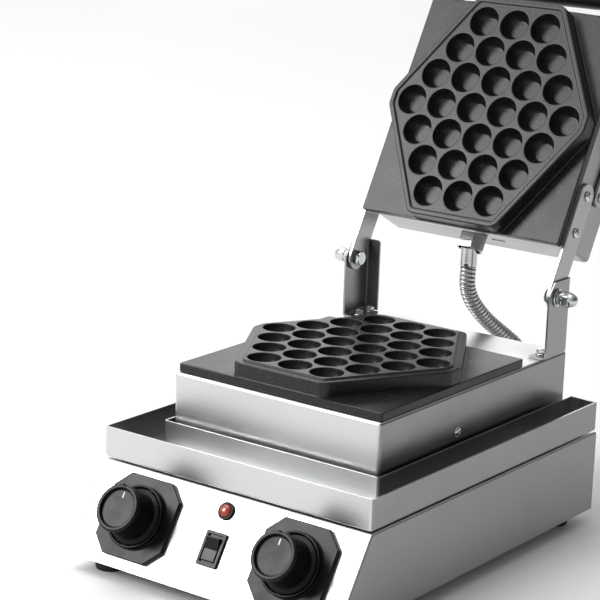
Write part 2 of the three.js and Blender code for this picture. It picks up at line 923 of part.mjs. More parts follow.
// The bolt that the arm swings on, with its washer, nut and domed cap nut outside the bracket.
function pivotStack(end, side) {
  const washerX = bracketOuter + seatGap;
  const nutX = washerX + washerThickness + seatGap;
  const capX = nutX + nutHeight + seatGap;
  const headX = armInner - seatGap;
  const bore = (x0, x1) => rod(boltRadius + seatGap, x0, x1);
  const place = (made) => alongX(made, side, 0, pivotBack, pivotZ);
  const bolt = rod(boltRadius, headX - boltHeadHeight / 2, capX + capNutBoreDepth - seatGap).add(
    hexagon(nutHalfFlats, headX - boltHeadHeight, headX),
  );
  const washer = rod(washerRadius, washerX, washerX + washerThickness, 20).subtract(
    bore(washerX - overrun, washerX + washerThickness + overrun),
  );
  const nut = hexagon(nutHalfFlats, nutX, nutX + nutHeight).subtract(
    bore(nutX - overrun, nutX + nutHeight + overrun),
  );
  const dome = [[0, capX + capNutFlatHeight / 2]];
  const domeHeight = capNutHeight - capNutFlatHeight;
  const steps = 4;
  for (let k = 0; k <= steps; k++) {
    const angle = ((Math.PI / 2) * k) / steps;
    const rise = k === 0 ? capNutFlatHeight / 2 : capNutFlatHeight + domeHeight * Math.sin(angle);
    dome.push([k === steps ? 0 : nutHalfFlats * Math.cos(angle), capX + rise]);
  }
  const capNut = hexagon(nutHalfFlats, capX, capX + capNutFlatHeight)
    .add(turned(dome, 12))
    .subtract(bore(capX - overrun, capX + capNutBoreDepth));
  return [
    piece("pivot_bolt_" + end, place(bolt), chrome),
    piece("pivot_washer_" + end, place(washer), chrome),
    piece("pivot_nut_" + end, place(nut), chrome),
    piece("cap_nut_" + end, place(capNut), chrome),
  ];
}

// Lid

// A flat bar with round ends between two places in Y and Z.
function barOutline(a, b, halfWidth) {
  const along = Math.atan2(b.y - a.y, b.x - a.x);
  const points = [];
  const steps = 8;
  for (const [centre, start] of [
    [b, along - Math.PI / 2],
    [a, along + Math.PI / 2],
  ])
    for (let k = 0; k <= steps; k++) {
      const angle = start + (Math.PI * k) / steps;
      const y = centre.y + halfWidth * Math.sin(angle);
      points.push(new THREE.Vector2(centre.x + halfWidth * Math.cos(angle), y));
    }
  return points;
}

const armRearEnd = new THREE.Vector2(pivotBack, pivotZ);
const armFrontEnd = new THREE.Vector2(armFrontBack, armFrontZ);
const barRearEnd = new THREE.Vector2(barRearBack, barZ);
const barFrontEnd = new THREE.Vector2(-barFront, barZ);
const armScrewPlaces = armScrewShares.map((share) => armFrontEnd.clone().lerp(armRearEnd, share));

function screwHole(side, x, place) {
  const made = rod(screwShankRadius + seatGap, -armThickness - sheetWall - overrun * 2, overrun);
  return alongX(made, side, side * x, place.x, place.y);
}

function lidArm(name, side) {
  const bar = plateAcross(
    barOutline(armRearEnd, armFrontEnd, armHalfWidth),
    side * armInner,
    side * armOuter,
  );
  const bore = alongX(
    rod(boltRadius + seatGap, -armThickness - overrun, overrun),
    side,
    side * armOuter,
    pivotBack,
    pivotZ,
  );
  const holes = armScrewPlaces.map((place) => screwHole(side, armOuter, place));
  return piece(name, bar.subtract(wasm.Manifold.union([bore, ...holes])), steel);
}

function handleBar(name, side) {
  const bar = plateAcross(
    barOutline(barRearEnd, barFrontEnd, barHalfWidth),
    side * armInner,
    side * barOuter,
  );
  const holes = [barRearEnd, barFrontEnd].map((place) => screwHole(side, barOuter, place));
  return piece(name, bar.subtract(wasm.Manifold.union(holes)), steel);
}

function sideScrew(name, side, x, place) {
  const made = alongX(panScrew(), side, side * (x + seatGap), place.x, place.y);
  return piece(name, made, chrome);
}

function handleGrip() {
  const half = armInner - seatGap;
  const profile = [
    [0, -half],
    [gripEndRadius, -half],
    [gripEndRadius, -half + gripEndLength],
    [gripRadius, -half + gripEndLength * 2],
    [gripRadius, half - gripEndLength * 2],
    [gripEndRadius, half - gripEndLength],
    [gripEndRadius, half],
    [0, half],
  ];
  const bores = [-1, 1].map((side) =>
    rod(gripBoreRadius, -gripBoreDepth, overrun).rotate([side > 0 ? 0 : 180, 0, 0]).translate([
      0,
      0,
      side * half,
    ]),
  );
  const made = turned(profile, 18).subtract(wasm.Manifold.union(bores));
  return piece("handle_grip", alongX(made, 1, 0, -barFront, barZ), mouldedBlack);
}

function lidFrame() {
  const sheet = straightBlock(
    outline(
      rectangle(-slabHalfWidth, slabHalfWidth, -slabHalfDepth, slabHalfDepth),
      0,
      slabCornerRadius,
    ),
    upperSlabTopZ + seatGap,
    frameTopZ,
  );
  const half = slabHalfWidth - frameInset;
  const opening = block(
    -half,
    half,
    -half,
    half,
    upperSlabTopZ - overrun,
    frameTopZ + overrun,
  );
  return piece("lid_frame", sheet.subtract(opening), steel);
}

function lidCover() {
  const outer = roundedBlock(
    rectangle(-coverHalfWidth, coverHalfWidth, -coverFront, coverRear),
    0,
    coverCornerRadius,
    coverBottomZ,
    coverTopZ,
    coverBendRadius,
  );
  const hollow = block(
    -coverHalfWidth + sheetWall,
    coverHalfWidth - sheetWall,
    -coverFront + sheetWall,
    coverRear - sheetWall,
    coverBottomZ - overrun,
    coverTopZ - sheetWall,
  );
  const glandHole = rod(glandSpigotRadius + seatGap, -overrun, sheetWall + overrun)
    .rotate([90, 0, 0])
    .translate([0, coverRear, upperFaceZ + glandRise]);
  const slotZ = upperFaceZ + rearSlotRise;
  const slot = block(
    rearSlotRight - rearSlotLength / 2,
    rearSlotRight + rearSlotLength / 2,
    coverRear - sheetWall - overrun,
    coverRear + overrun,
    slotZ - rearSlotHeight / 2,
    slotZ + rearSlotHeight / 2,
  );
  const holes = [-1, 1].flatMap((side) => [
    ...armScrewPlaces.map((place) => screwHole(side, armOuter, place)),
    screwHole(side, barOuter, barRearEnd),
  ]);
  const cuts = wasm.Manifold.union([hollow, glandHole, slot, ...holes]);
  return piece("lid_cover", outer.subtract(cuts), steel);
}

// Gland nut and ferrule on the lid's rear wall. The ferrule leans in the nut's mouth, and the
// deepest point of its inner end rests on the mouth's floor.
function lidGland() {
  const reachIn = ferruleInsertion * Math.cos(ferruleTilt) + ferruleRadius * Math.sin(ferruleTilt);
  const floorZ = glandHeight - reachIn - seatGap;
  const made = hexagon(glandHalfFlats, seatGap, glandHeight)
    .add(rod(glandSpigotRadius, -glandSpigotLength, glandHeight / 2))
    .subtract(rod(glandBoreRadius, floorZ, glandHeight + overrun, 20));
  const placed = made.rotate([-90, 0, 0]).translate([0, coverRear, upperFaceZ + glandRise]);
  return piece("lid_gland_nut", placed, chrome);
}

// Where the ferrule starts and ends, with the lid shut, in Y and Z.
function ferruleEnds() {
  const centre = new THREE.Vector2(coverRear + glandHeight, upperFaceZ + glandRise);
  const along = new THREE.Vector2(Math.cos(ferruleTilt), Math.sin(ferruleTilt));
  const start = centre.clone().addScaledVector(along, -ferruleInsertion);
  return { start, end: start.clone().addScaledVector(along, ferruleLength), along };
}

function ferrule() {
  const { start } = ferruleEnds();
  const made = rod(ferruleRadius, 0, ferruleLength, 16)
    .rotate([-90, 0, 0])
    .rotate([THREE.MathUtils.radToDeg(ferruleTilt), 0, 0]);
  return piece("conduit_ferrule", made.translate([0, start.x, start.y]), chrome);
}

// A place given with the lid shut, where it lies once the lid is open.
function opened(place) {
  const pivot = new THREE.Vector2(pivotBack, pivotZ);
  return place.clone().rotateAround(pivot, -openAngle);
}

// Conduit

function conduitCurve() {
  const { end, along } = ferruleEnds();
  const start = opened(end);
  const away = along.clone().rotateAround(new THREE.Vector2(), -openAngle);
  const straight = 2 * hoseCrestRadius;
  const first = start.clone().addScaledVector(away, seatGap);
  const second = start.clone().addScaledVector(away, seatGap + straight);
  const mouthY = elbowY();
  const mouthZ = elbowMouthZ() + seatGap;
  const points = [
    new THREE.Vector3(0, first.x, first.y),
    new THREE.Vector3(0, (first.x + second.x) / 2, (first.y + second.y) / 2),
    new THREE.Vector3(0, second.x, second.y),
    ...conduitRoute.map(([x, y, rise]) => new THREE.Vector3(x, y, deckZ + rise)),
    new THREE.Vector3(elbowRight, mouthY, mouthZ + straight),
    new THREE.Vector3(elbowRight, mouthY, mouthZ + straight / 2),
    new THREE.Vector3(elbowRight, mouthY, mouthZ),
  ];
  return new THREE.CatmullRomCurve3(points, false, "centripetal");
}

// The ribbed hose: crests and valleys outside, a plain bore inside, both ends cut square.
function conduitHose() {
  const curve = conduitCurve();
  const stations = 2 * ribCount;
  const frames = curve.computeFrenetFrames(stations, false);
  const position = [];
  const index = [];
  const ring = (station, radius) => {
    const centre = curve.getPointAt(station / stations);
    for (let i = 0; i < ribSides; i++) {
      const angle = (2 * Math.PI * i) / ribSides;
      const point = centre
        .clone()
        .addScaledVector(frames.normals[station], radius * Math.cos(angle))
        .addScaledVector(frames.binormals[station], radius * Math.sin(angle));
      position.push(point.x, point.y, point.z);
    }
  };
  const join = (a, b) => {
    for (let i = 0; i < ribSides; i++) {
      const j = (i + 1) % ribSides;
      index.push(a + i, a + j, b + j, a + i, b + j, b + i);
    }
  };
  for (let k = 0; k <= stations; k++) ring(k, k % 2 ? hoseCrestRadius : hoseValleyRadius);
  for (let k = 0; k < stations; k++) join(k * ribSides, (k + 1) * ribSides);
  const boreStart = (stations + 1) * ribSides;
  const boreRings = ribCount / ribsPerBoreRing;
  for (let k = 0; k <= boreRings; k++) ring(2 * ribsPerBoreRing * k, hoseBoreRadius);
  for (let k = 0; k < boreRings; k++)
    join(boreStart + (k + 1) * ribSides, boreStart + k * ribSides);
  join(boreStart, 0);
  join(stations * ribSides, boreStart + boreRings * ribSides);
  const geometry = new THREE.BufferGeometry();
  geometry.setAttribute("position", new THREE.Float32BufferAttribute(position, 3));
  geometry.setIndex(index);
  geometry.computeVertexNormals();
  return piece("conduit_hose", geometry, chrome);
}

function elbowY() {
  return baseRear + glandHeight + seatGap + elbowRun + elbowBendRadius;
}

function elbowMouthZ() {
  return elbowHeight + elbowBendRadius + elbowStub;
}

function elbow() {
  const wallY = baseRear + glandHeight + seatGap;
  const mouthY = elbowY();
  const points = [
    new THREE.Vector3(elbowRight, wallY, elbowHeight),
    new THREE.Vector3(elbowRight, mouthY - elbowBendRadius, elbowHeight),
  ];
  const steps = 5;
  for (let k = 1; k <= steps; k++) {
    const angle = ((Math.PI / 2) * k) / steps;
    const y = mouthY - elbowBendRadius + elbowBendRadius * Math.sin(angle);
    const z = elbowHeight + elbowBendRadius * (1 - Math.cos(angle));
    points.push(new THREE.Vector3(elbowRight, y, z));
  }
  points.push(new THREE.Vector3(elbowRight, mouthY, elbowMouthZ()));
  const curve = new THREE.CatmullRomCurve3(points, false, "chordal");
  return piece("conduit_elbow", tube(curve, elbowRadius, 12, 10), chrome);
}

function elbowNut() {
  const made = hexagon(glandHalfFlats, seatGap, glandHeight).add(
    rod(glandSpigotRadius, -glandSpigotLength, glandHeight / 2),
  );
  const placed = made.rotate([-90, 0, 0]).translate([elbowRight, baseRear, elbowHeight]);
  return piece("elbow_nut", placed, chrome);
}

function mainsGland() {
  const made = turned(
    [
      [0, -mainsLength / 2],
      [mainsRadius, -mainsLength / 2],
      [mainsRadius, seatGap],
      [mainsFlangeRadius, seatGap],
      [mainsFlangeRadius, mainsFlangeHeight],
      [mainsRadius, mainsFlangeHeight],
      [mainsBoreRadius + sheetWall, mainsLength],
      [0, mainsLength],
    ],
    16,
  ).subtract(rod(mainsBoreRadius, -mainsLength, mainsLength + overrun));
  const placed = made.rotate([-90, 0, 0]).translate([mainsRight, baseRear, elbowHeight]);
  return piece("mains_gland", placed, mouldedBlack);
}

// Front panel fittings, drawn with Z out of the panel and Y up its slope

function bezel(name) {
  const half = bezelHalfWidth;
  const diagonal = (2 * half - bezelCornerCut) * Math.SQRT1_2;
  const sides = Array.from({ length: 8 }, (_, i) => ({
    angle: (i * Math.PI) / 4,
    distance: i % 2 ? diagonal : half,
  }));
  const z0 = seatGap;
  const made = roundedBlock(sides, 0, bezelEdgeRadius * 2, z0, z0 + bezelThickness, bezelEdgeRadius)
    .add(rod(bezelCollarRadius, z0 + bezelThickness / 2, z0 + bezelThickness + bezelCollarHeight, 32))
    .subtract(
      rod(
        knobSkirtRadius + seatGap * 2,
        z0 + bezelThickness,
        z0 + bezelThickness + bezelCollarHeight + overrun,
        32,
      ),
    )
    .subtract(rod(spindleHoleRadius, -overrun, z0 + bezelThickness + overrun));
  return piece(name, made, mouldedBlack);
}

// A round knob with a skirt, a raised rim round its face, a pointer notch and its spindle.
function knob(name) {
  const z0 = bezelThickness + seatGap * 2;
  const top = z0 + knobHeight;
  const made = turned(
    [
      [0, -sheetWall - spindleReach],
      [spindleRadius, -sheetWall - spindleReach],
      [spindleRadius, z0],
      [knobSkirtRadius, z0],
      [knobSkirtRadius, z0 + knobSkirtHeight * knobSkirtWallShare],
      [knobRadius, z0 + knobSkirtHeight],
      [knobWaist, z0 + knobHeight / 2],
      [knobRadius, top - knobEdge],
      [knobRadius - knobEdge, top],
      [knobRadius - knobRimWidth, top],
      [knobRadius - knobRimWidth, top - knobRecess],
      [0, top - knobRecess],
    ],
    32,
  );
  const notch = block(
    -pointerWidth / 2,
    pointerWidth / 2,
    knobWaist - pointerDepth,
    knobRadius + overrun,
    z0 + knobSkirtHeight,
    top + overrun,
  );
  return piece(name, made.subtract(notch), mouldedBlack);
}

// How far behind the panel a body reaches when its lowest corner stops just above the floor plate.
function depthToFloor(halfHeight) {
  const lowered = (controlDrop + halfHeight) * Math.sin(panelAngle);
  const room = baseHeight - floorThickness - lowered - controlFloorGap;
  return room / Math.cos(panelAngle) - sheetWall - seatGap;
}

function spindlePocket(depth) {
  const back = -sheetWall - seatGap;
  return rod(spindleHoleRadius, back - Math.min(spindleReach + seatGap, depth / 2), back + overrun);
}

function timerBody() {
  const half = timerHalfWidth;
  const back = -sheetWall - seatGap;
  const depth = depthToFloor(half);
  const made = block(-half, half, -half, half, back - depth, back);
  return piece("timer_body", made.subtract(spindlePocket(depth)), mouldedBlack);
}

function thermostatBody() {
  const back = -sheetWall - seatGap;
  const depth = depthToFloor(thermostatRadius);
  const made = rod(thermostatRadius, back - depth, back, 24);
  return piece("thermostat_body", made.subtract(spindlePocket(depth)), wool);
}

function pilotLamp() {
  const z0 = seatGap;
  const made = turned(
    [
      [0, -lampBodyLength],
      [lampBodyRadius, -lampBodyLength],
      [lampBodyRadius, z0],
      [lampFlangeRadius, z0],
      [lampFlangeRadius, z0 + lampFlangeHeight],
      [lampLensRadius, z0 + lampFlangeHeight],
      [lampLensRadius * Math.cos(Math.PI / 4), z0 + lampLensHeight * Math.cos(Math.PI / 8)],
      [0, z0 + lampLensHeight],
    ],
    18,
  );
  return piece("pilot_lamp", made, lens);
}

function rockerFrame() {
  const z0 = seatGap;
  const bodyHalfWidth = rockerHalfWidth - rockerBodyInset;
  const bodyHalfHeight = rockerHalfHeight - rockerBodyInset;
  const flange = block(
    -rockerHalfWidth,
    rockerHalfWidth,
    -rockerHalfHeight,
    rockerHalfHeight,
    z0,
    z0 + rockerFlange,
  );
  const body = block(
    -bodyHalfWidth,
    bodyHalfWidth,
    -bodyHalfHeight,
    bodyHalfHeight,
    -rockerBodyDepth,
    z0 + rockerFlange / 2,
  );
  const well = block(
    -keyHalfWidth - keyRunning,
    keyHalfWidth + keyRunning,
    -keyHalfHeight - 2 * keyRunning,
    keyHalfHeight + 2 * keyRunning,
    -keyDepth * 2,
    z0 + rockerFlange + overrun,
  );
  return piece("rocker_frame", flange.add(body).subtract(well), mouldedBlack);
}

// The rocker key: a shallow V on top, tipped to its off side. It turns about its middle.
function rockerKey() {
  const face = rockerFlange + seatGap;
  const root = keyHalfHeight * keyRootShare;
  const points = [
    new THREE.Vector2(-root, -keyDepth),
    new THREE.Vector2(root, -keyDepth),
    new THREE.Vector2(keyHalfHeight, 0),
    new THREE.Vector2(keyHalfHeight, face + keyRise - keyDip),
    new THREE.Vector2(0, face + keyRise - 2 * keyDip),
    new THREE.Vector2(-keyHalfHeight, face + keyRise - keyDip),
    new THREE.Vector2(-keyHalfHeight, 0),
  ];
  const made = plateAcross(points, -keyHalfWidth, keyHalfWidth);
  const mesh = piece("rocker_key", made, mouldedBlack);
  mesh.rotation.x = keyTilt;
  return mesh;
}

function panel() {
  const group = new THREE.Group();
  group.position.set(0, baseFrontTop, deckZ);
  group.rotation.x = panelAngle;
  const add = (mesh, x, drop) => {
    const holder = new THREE.Group();
    holder.position.set(x, -drop, 0);
    holder.add(mesh);
    group.add(holder);
  };
  add(bezel("timer_bezel"), -controlRight, controlDrop);
  add(knob("timer_knob"), -controlRight, controlDrop);
  add(timerBody(), -controlRight, controlDrop);
  add(bezel("thermostat_bezel"), controlRight, controlDrop);
  add(knob("thermostat_knob"), controlRight, controlDrop);
  add(thermostatBody(), controlRight, controlDrop);
  add(pilotLamp(), 0, lampDrop);
  add(rockerFrame(), 0, rockerDrop);
  add(rockerKey(), 0, rockerDrop);
  return group;
}

// The lid is drawn shut and then turned open about its pivots.
function lid() {
  const shut = new THREE.Group();
  shut.position.set(0, -pivotBack, -pivotZ);
  shut.add(upperPlate(), lidFrame(), lidCover());
  const elementZ = upperSlabTopZ + seatGap + elementRadius;
  shut.add(heatingElement("upper_element", elementZ));
  shut.add(insulation("upper_insulation", elementZ + elementRadius + seatGap));
  for (const [end, side] of [["left", -1], ["right", 1]]) {
    shut.add(lidArm("lid_arm_" + end, side), handleBar("handle_bar_" + end, side));
    shut.add(sideScrew("arm_front_screw_" + end, side, armOuter, armScrewPlaces[0]));
    shut.add(sideScrew("arm_rear_screw_" + end, side, armOuter, armScrewPlaces[1]));
    shut.add(sideScrew("bar_screw_" + end, side, barOuter, barRearEnd));
    shut.add(sideScrew("grip_screw_" + end, side, barOuter, barFrontEnd));
  }
  shut.add(handleGrip(), lidGland(), ferrule());
  const swung = new THREE.Group();
  swung.position.set(0, pivotBack, pivotZ);
  swung.rotation.x = -openAngle;
  swung.add(shut);
  return swung;
}

function machine() {
  const group = new THREE.Group();
  group.add(baseShell(), baseFloor(), ...feet(), dripTray(), housing(), lowerPlate());
  const elementZ = housingTopZ - elementRadius;
  group.add(heatingElement("lower_element", elementZ));
  group.add(insulation("lower_insulation", elementZ - elementRadius - seatGap - insulationThickness));
  for (const [end, side] of [["left", -1], ["right", 1]]) {
    group.add(hingeBracket("hinge_bracket_" + end, side), ...pivotStack(end, side));
    const [front, rear] = bracketScrewPlaces(side);
    group.add(bracketScrew("bracket_front_screw_" + end, ...front));
    group.add(bracketScrew("bracket_rear_screw_" + end, ...rear));
    const screwPlace = new THREE.Vector2(housingScrewBack, deckZ + housingScrewHeight);
    group.add(sideScrew("housing_screw_" + end, side, housingHalfWidth, screwPlace));
  }
  group.add(panel(), conduitHose(), elbow(), elbowNut(), mainsGland(), lid());
  return group;
}

// The origin is the middle of the machine's footprint box on the table.
const waffleMaker = new THREE.Group();
const body = machine();
waffleMaker.add(body);
waffleMaker.updateMatrixWorld(true);
const reach = new THREE.Box3().setFromObject(body, true);
body.position.set(-(reach.min.x + reach.max.x) / 2, -(reach.min.y + reach.max.y) / 2, -reach.min.z);
export default waffleMaker;
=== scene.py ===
import math

import bmesh
import bpy
import numpy as np
from mathutils import Matrix, Vector
from mathutils.geometry import delaunay_2d_cdt


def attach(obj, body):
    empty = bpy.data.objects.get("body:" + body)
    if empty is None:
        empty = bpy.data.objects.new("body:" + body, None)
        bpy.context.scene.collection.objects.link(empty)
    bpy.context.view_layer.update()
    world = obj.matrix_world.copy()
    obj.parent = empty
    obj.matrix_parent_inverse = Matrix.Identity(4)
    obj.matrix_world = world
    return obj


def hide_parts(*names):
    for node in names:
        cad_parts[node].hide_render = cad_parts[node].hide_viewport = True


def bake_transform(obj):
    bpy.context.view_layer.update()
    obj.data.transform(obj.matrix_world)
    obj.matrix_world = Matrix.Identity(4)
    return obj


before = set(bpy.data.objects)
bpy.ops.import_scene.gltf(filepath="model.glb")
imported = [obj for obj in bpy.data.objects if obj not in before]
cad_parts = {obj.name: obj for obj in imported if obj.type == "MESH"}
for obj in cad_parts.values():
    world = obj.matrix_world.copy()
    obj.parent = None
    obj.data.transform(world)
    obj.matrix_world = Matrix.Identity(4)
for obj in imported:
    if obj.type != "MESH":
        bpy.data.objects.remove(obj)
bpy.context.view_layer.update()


# The photographer's view: a long lens from the front and the right, a little above the deck.
# The camera leans two degrees, as the edges of the photograph do.
ROW_SHIFT = -54.656  # the plates' centre stands this far behind the middle of the part, mm
PLATE_FACE = 187.6  # height of the lower plate's cup field, mm
VIEW_TURN, VIEW_RISE, VIEW_ROLL = 36.33, 14.34, 2.0
VIEW_FOCUS = 2152.83  # in pixels of a 600 pixel picture
VIEW_PLACE = np.array([48.77, -40.26, -1935.24])  # the plate's centre as the camera sees it, mm


def rotated(a, b, angle):
    """Two coordinates turned in their plane: a cos - b sin, and a sin + b cos."""
    return a * math.cos(angle) - b * math.sin(angle), a * math.sin(angle) + b * math.cos(angle)


turn, rise, roll = np.radians([VIEW_TURN, VIEW_RISE, VIEW_ROLL])
right = np.array([math.cos(turn), math.sin(turn), 0])
back = np.array([math.sin(turn) * math.cos(rise), -math.cos(turn) * math.cos(rise), math.sin(rise)])
up, right = rotated(np.cross(back, right), right, roll)
axes = np.array([right, up, back])
camera = bpy.data.objects.new("camera", bpy.data.cameras.new("camera"))
camera.data.lens = VIEW_FOCUS / 600 * camera.data.sensor_width
camera.data.clip_end = 50
place = (-axes.T @ VIEW_PLACE + (0, ROW_SHIFT, PLATE_FACE)) / 1000
camera.matrix_world = Matrix.Translation(place) @ Matrix(axes.T.tolist()).to_4x4()
bpy.context.scene.collection.objects.link(camera)
bpy.context.scene.camera = camera


# Base: one stainless sheet folded over the front panel, the deck and the back, with side walls.
# Its bends are 3 mm inside and its weld seams are ground flush.
def standing(points):
    """Millimetres from the plates' centre line and the floor, as metres in the part's frame."""
    return (np.asarray(points, float) + (0, ROW_SHIFT, 0)) / 1000


def xyz(points):
    """The x, y and z of points, each as an array of its own."""
    return np.moveaxis(np.asarray(points, float), -1, 0)


def points_of(x, y, z):
    """Points from their three numbers, each of them one for all, one a column or one a point."""
    return np.stack(np.broadcast_arrays(x, y, z), -1)


def box(left, right, near, far):
    """The corners of an upright rectangle, counter-clockwise from the near left."""
    return [(left, near), (right, near), (right, far), (left, far)]


def inset(corners, distances):
    """The outline with each side moved in by its distance, and its corners where sides cross."""
    corners = np.asarray(corners, float)
    after = np.roll(corners, -1, 0)
    along = (after - corners) / np.linalg.norm(after - corners, axis=1)[:, None]
    sense = np.sign((corners[:, 0] * after[:, 1] - corners[:, 1] * after[:, 0]).sum())
    inward = sense * np.column_stack([-along[:, 1], along[:, 0]])
    reach = (inward * corners).sum(1) + distances
    sides = np.stack([np.roll(inward, 1, 0), inward], 1)
    return np.linalg.solve(sides, np.stack([np.roll(reach, 1), reach], 1)[..., None])[..., 0]


def rounded(corners, radii, steps=6):
    """The outline with an arc at each corner, centred on its bisector, r / sin(half) away."""
    corners = np.asarray(corners, float)
    radii = np.maximum(np.broadcast_to(radii, len(corners)), 0.02).astype(float)
    before = np.roll(corners, 1, 0) - corners
    after = np.roll(corners, -1, 0) - corners
    before /= np.linalg.norm(before, axis=1)[:, None]
    after /= np.linalg.norm(after, axis=1)[:, None]
    half = np.arccos(np.clip((before * after).sum(1), -1, 1)) / 2
    middle = (before + after) / np.linalg.norm(before + after, axis=1)[:, None]
    centre = middle * (radii / np.sin(half))[:, None]
    tangent = (radii / np.tan(half))[:, None]
    span = (math.pi - 2 * half)[:, None]
    t = np.linspace(0, 1, steps)[None]
    first = (np.sin((1 - t) * span) / np.sin(span))[..., None]
    last = (np.sin(t * span) / np.sin(span))[..., None]
    arcs = (before * tangent - centre)[:, None] * first + (after * tangent - centre)[:, None] * last
    return (arcs + (corners + centre)[:, None]).reshape(-1, 2)


def edged(low, high, edge, steps=5):
    """Insets and heights from face to face, a quarter circle of radius edge at both ends."""
    t = np.linspace(0, math.pi / 2, steps)
    insets = np.concatenate([edge * (1 - np.sin(t)), edge * (1 - np.cos(t))])
    heights = np.concatenate([low + edge * (1 - np.cos(t)), high - edge * (1 - np.sin(t))])
    return np.column_stack([insets, heights])


def stacked(corners, radius, levels, moved=1.0):
    """One ring a level: the outline moved in by the level's inset, at the level's height."""
    moved = np.broadcast_to(moved, len(corners))
    rings = [rounded(inset(corners, d * moved), np.subtract(radius, d)) for d, h in levels]
    heights = np.repeat(np.asarray(levels)[:, 1:], len(rings[0]), 1)
    return np.dstack([rings, heights])


def skinned(rings, caps="both", closed=True, wrap=False):
    """Points and faces of a skin over rings (n, m, 3): a four-sided face between each two
    neighbours of two rings, and a many-sided face over both ends, the first, the last or none."""
    n, m = rings.shape[:2]
    index = np.arange(n * m).reshape(n, m)
    if wrap:
        index = np.vstack([index, index[:1]])
    near, far = index[:-1], index[1:]
    quads = np.stack([near, np.roll(near, -1, 1), np.roll(far, -1, 1), far], -1)
    faces = (quads if closed else quads[:, :-1]).reshape(-1, 4).tolist()
    faces += [index[0][::-1].tolist()] if caps in ("both", "first") else []
    faces += [index[-1].tolist()] if caps in ("both", "last") else []
    return rings.reshape(-1, 3), faces


def joined(*parts):
    """Several skins as one: the faces of each count on from the points before it."""
    starts = np.cumsum([0] + [len(points) for points, faces in parts])
    faces = [[i + s for i in face] for (points, own), s in zip(parts, starts) for face in own]
    return np.vstack([points for points, own in parts]), faces


def thickened(made, wall):
    """Gives a sheet its thickness in mm inwards, and rounds its sharp edges by 0.3 mm."""
    sheet = made.modifiers.new("wall", "SOLIDIFY")
    sheet.thickness, sheet.offset, sheet.use_even_offset = wall / 1000, -1, True
    edge = made.modifiers.new("edge", "BEVEL")
    edge.width, edge.segments = 0.0003, 2
    edge.limit_method, edge.angle_limit = "ANGLE", math.radians(40)


def piece(
    node, form, skin, body, finish, stands_for=None, wall=0, sharp=32, level=True, marks=None
):
    """A mesh from points and faces, doubles merged and faces turned outwards, with its material.
    It is named after its node of the CAD and its form, and stands for that node unless told
    otherwise. wall is a sheet's thickness in mm. marks is a name and a number for each point."""
    name = node + "_" + form
    mesh = bpy.data.meshes.new(name)
    mesh.from_pydata(np.asarray(skin[0]).tolist(), [], skin[1])
    if marks:
        numbers = np.asarray(marks[1], np.float32).ravel()
        mesh.attributes.new(marks[0], "FLOAT", "POINT").data.foreach_set("value", numbers)
    shape = bmesh.new()
    shape.from_mesh(mesh)
    bmesh.ops.remove_doubles(shape, verts=shape.verts, dist=2e-6)
    bmesh.ops.recalc_face_normals(shape, faces=shape.faces)
    shape.to_mesh(mesh)
    shape.free()
    made = bpy.data.objects.new(name, mesh)
    bpy.context.scene.collection.objects.link(made)
    if wall:
        thickened(made, wall)
        bpy.context.view_layer.update()
        baked = made.evaluated_get(bpy.context.evaluated_depsgraph_get())
        mesh = bpy.data.meshes.new_from_object(baked)
        made.modifiers.clear()
        made.data = mesh
    mesh.shade_smooth()
    mesh.set_sharp_from_angle(angle=math.radians(sharp))
    if level:
        made.modifiers.new("flats", "WEIGHTED_NORMAL").keep_sharp = True
    mesh.materials.append(finish)
    if body:
        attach(made, body)
    stands_for = [node] if stands_for is None else stands_for
    if stands_for:
        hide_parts(*stands_for)
    return made


def colour(code):
    """sRGB hex as linear light: c / 12.92 up to 0.04045, else ((c + 0.055) / 1.055) ^ 2.4."""
    parts = np.array([int(code[i : i + 2], 16) for i in (1, 3, 5)]) / 255
    light = np.where(parts <= 0.04045, parts / 12.92, ((parts + 0.055) / 1.055) ** 2.4)
    return (*light.tolist(), 1.0)


def add(tree, kind, inputs=None, to=None, out=None, **settings):
    """Adds one node. An input is a value or a node's output, and settings are the node's own. What
    comes back, and goes to the socket "to", is the output named or else the first in use. In a Map
    Range the inputs 0 to 4 are the value, its range and the new range; in a Mix they are 0, the
    share, and 6 and 7."""
    node = tree.nodes.new(kind)
    for name, value in settings.items():
        setattr(node, name, value)
    for key, value in (inputs or {}).items():
        if isinstance(value, bpy.types.NodeSocket):
            tree.links.new(value, node.inputs[key])
        else:
            node.inputs[key].default_value = value
    result = node.outputs[out] if out else next(one for one in node.outputs if one.enabled)
    if to:
        tree.links.new(result, to)
    return result


def begun(name):
    """A new material, its nodes, and the place of each point on the piece in metres."""
    made = bpy.data.materials.new(name)
    made.use_nodes = True
    return made, made.node_tree, add(made.node_tree, "ShaderNodeTexCoord", out="Object")


def dressed(made, shade, tones, gloss=(), bump=None, sockets=None):
    """Ends a material: a value blends its dark and light tone, each value and its ranges in gloss
    add to its roughness, a height with strength and depth raises its surface, and sockets are the
    shader's constants."""
    tree = made.node_tree
    shader = tree.nodes["Principled BSDF"].inputs
    tones = [colour(tone) if isinstance(tone, str) else tone for tone in tones]
    shades = {0: shade, 6: tones[0], 7: tones[1]}
    add(tree, "ShaderNodeMix", shades, shader["Base Color"], data_type="RGBA")
    total = 0
    for spread in gloss:
        rough = {0: add(tree, "ShaderNodeMapRange", dict(enumerate(spread))), 1: total}
        total = add(tree, "ShaderNodeMath", rough, shader["Roughness"], operation="ADD")
    if bump:
        bump = dict(zip(("Height", "Strength", "Distance"), bump))
        add(tree, "ShaderNodeBump", bump, shader["Normal"])
    for name, value in (sockets or {}).items():
        shader[name].default_value = value
    return made


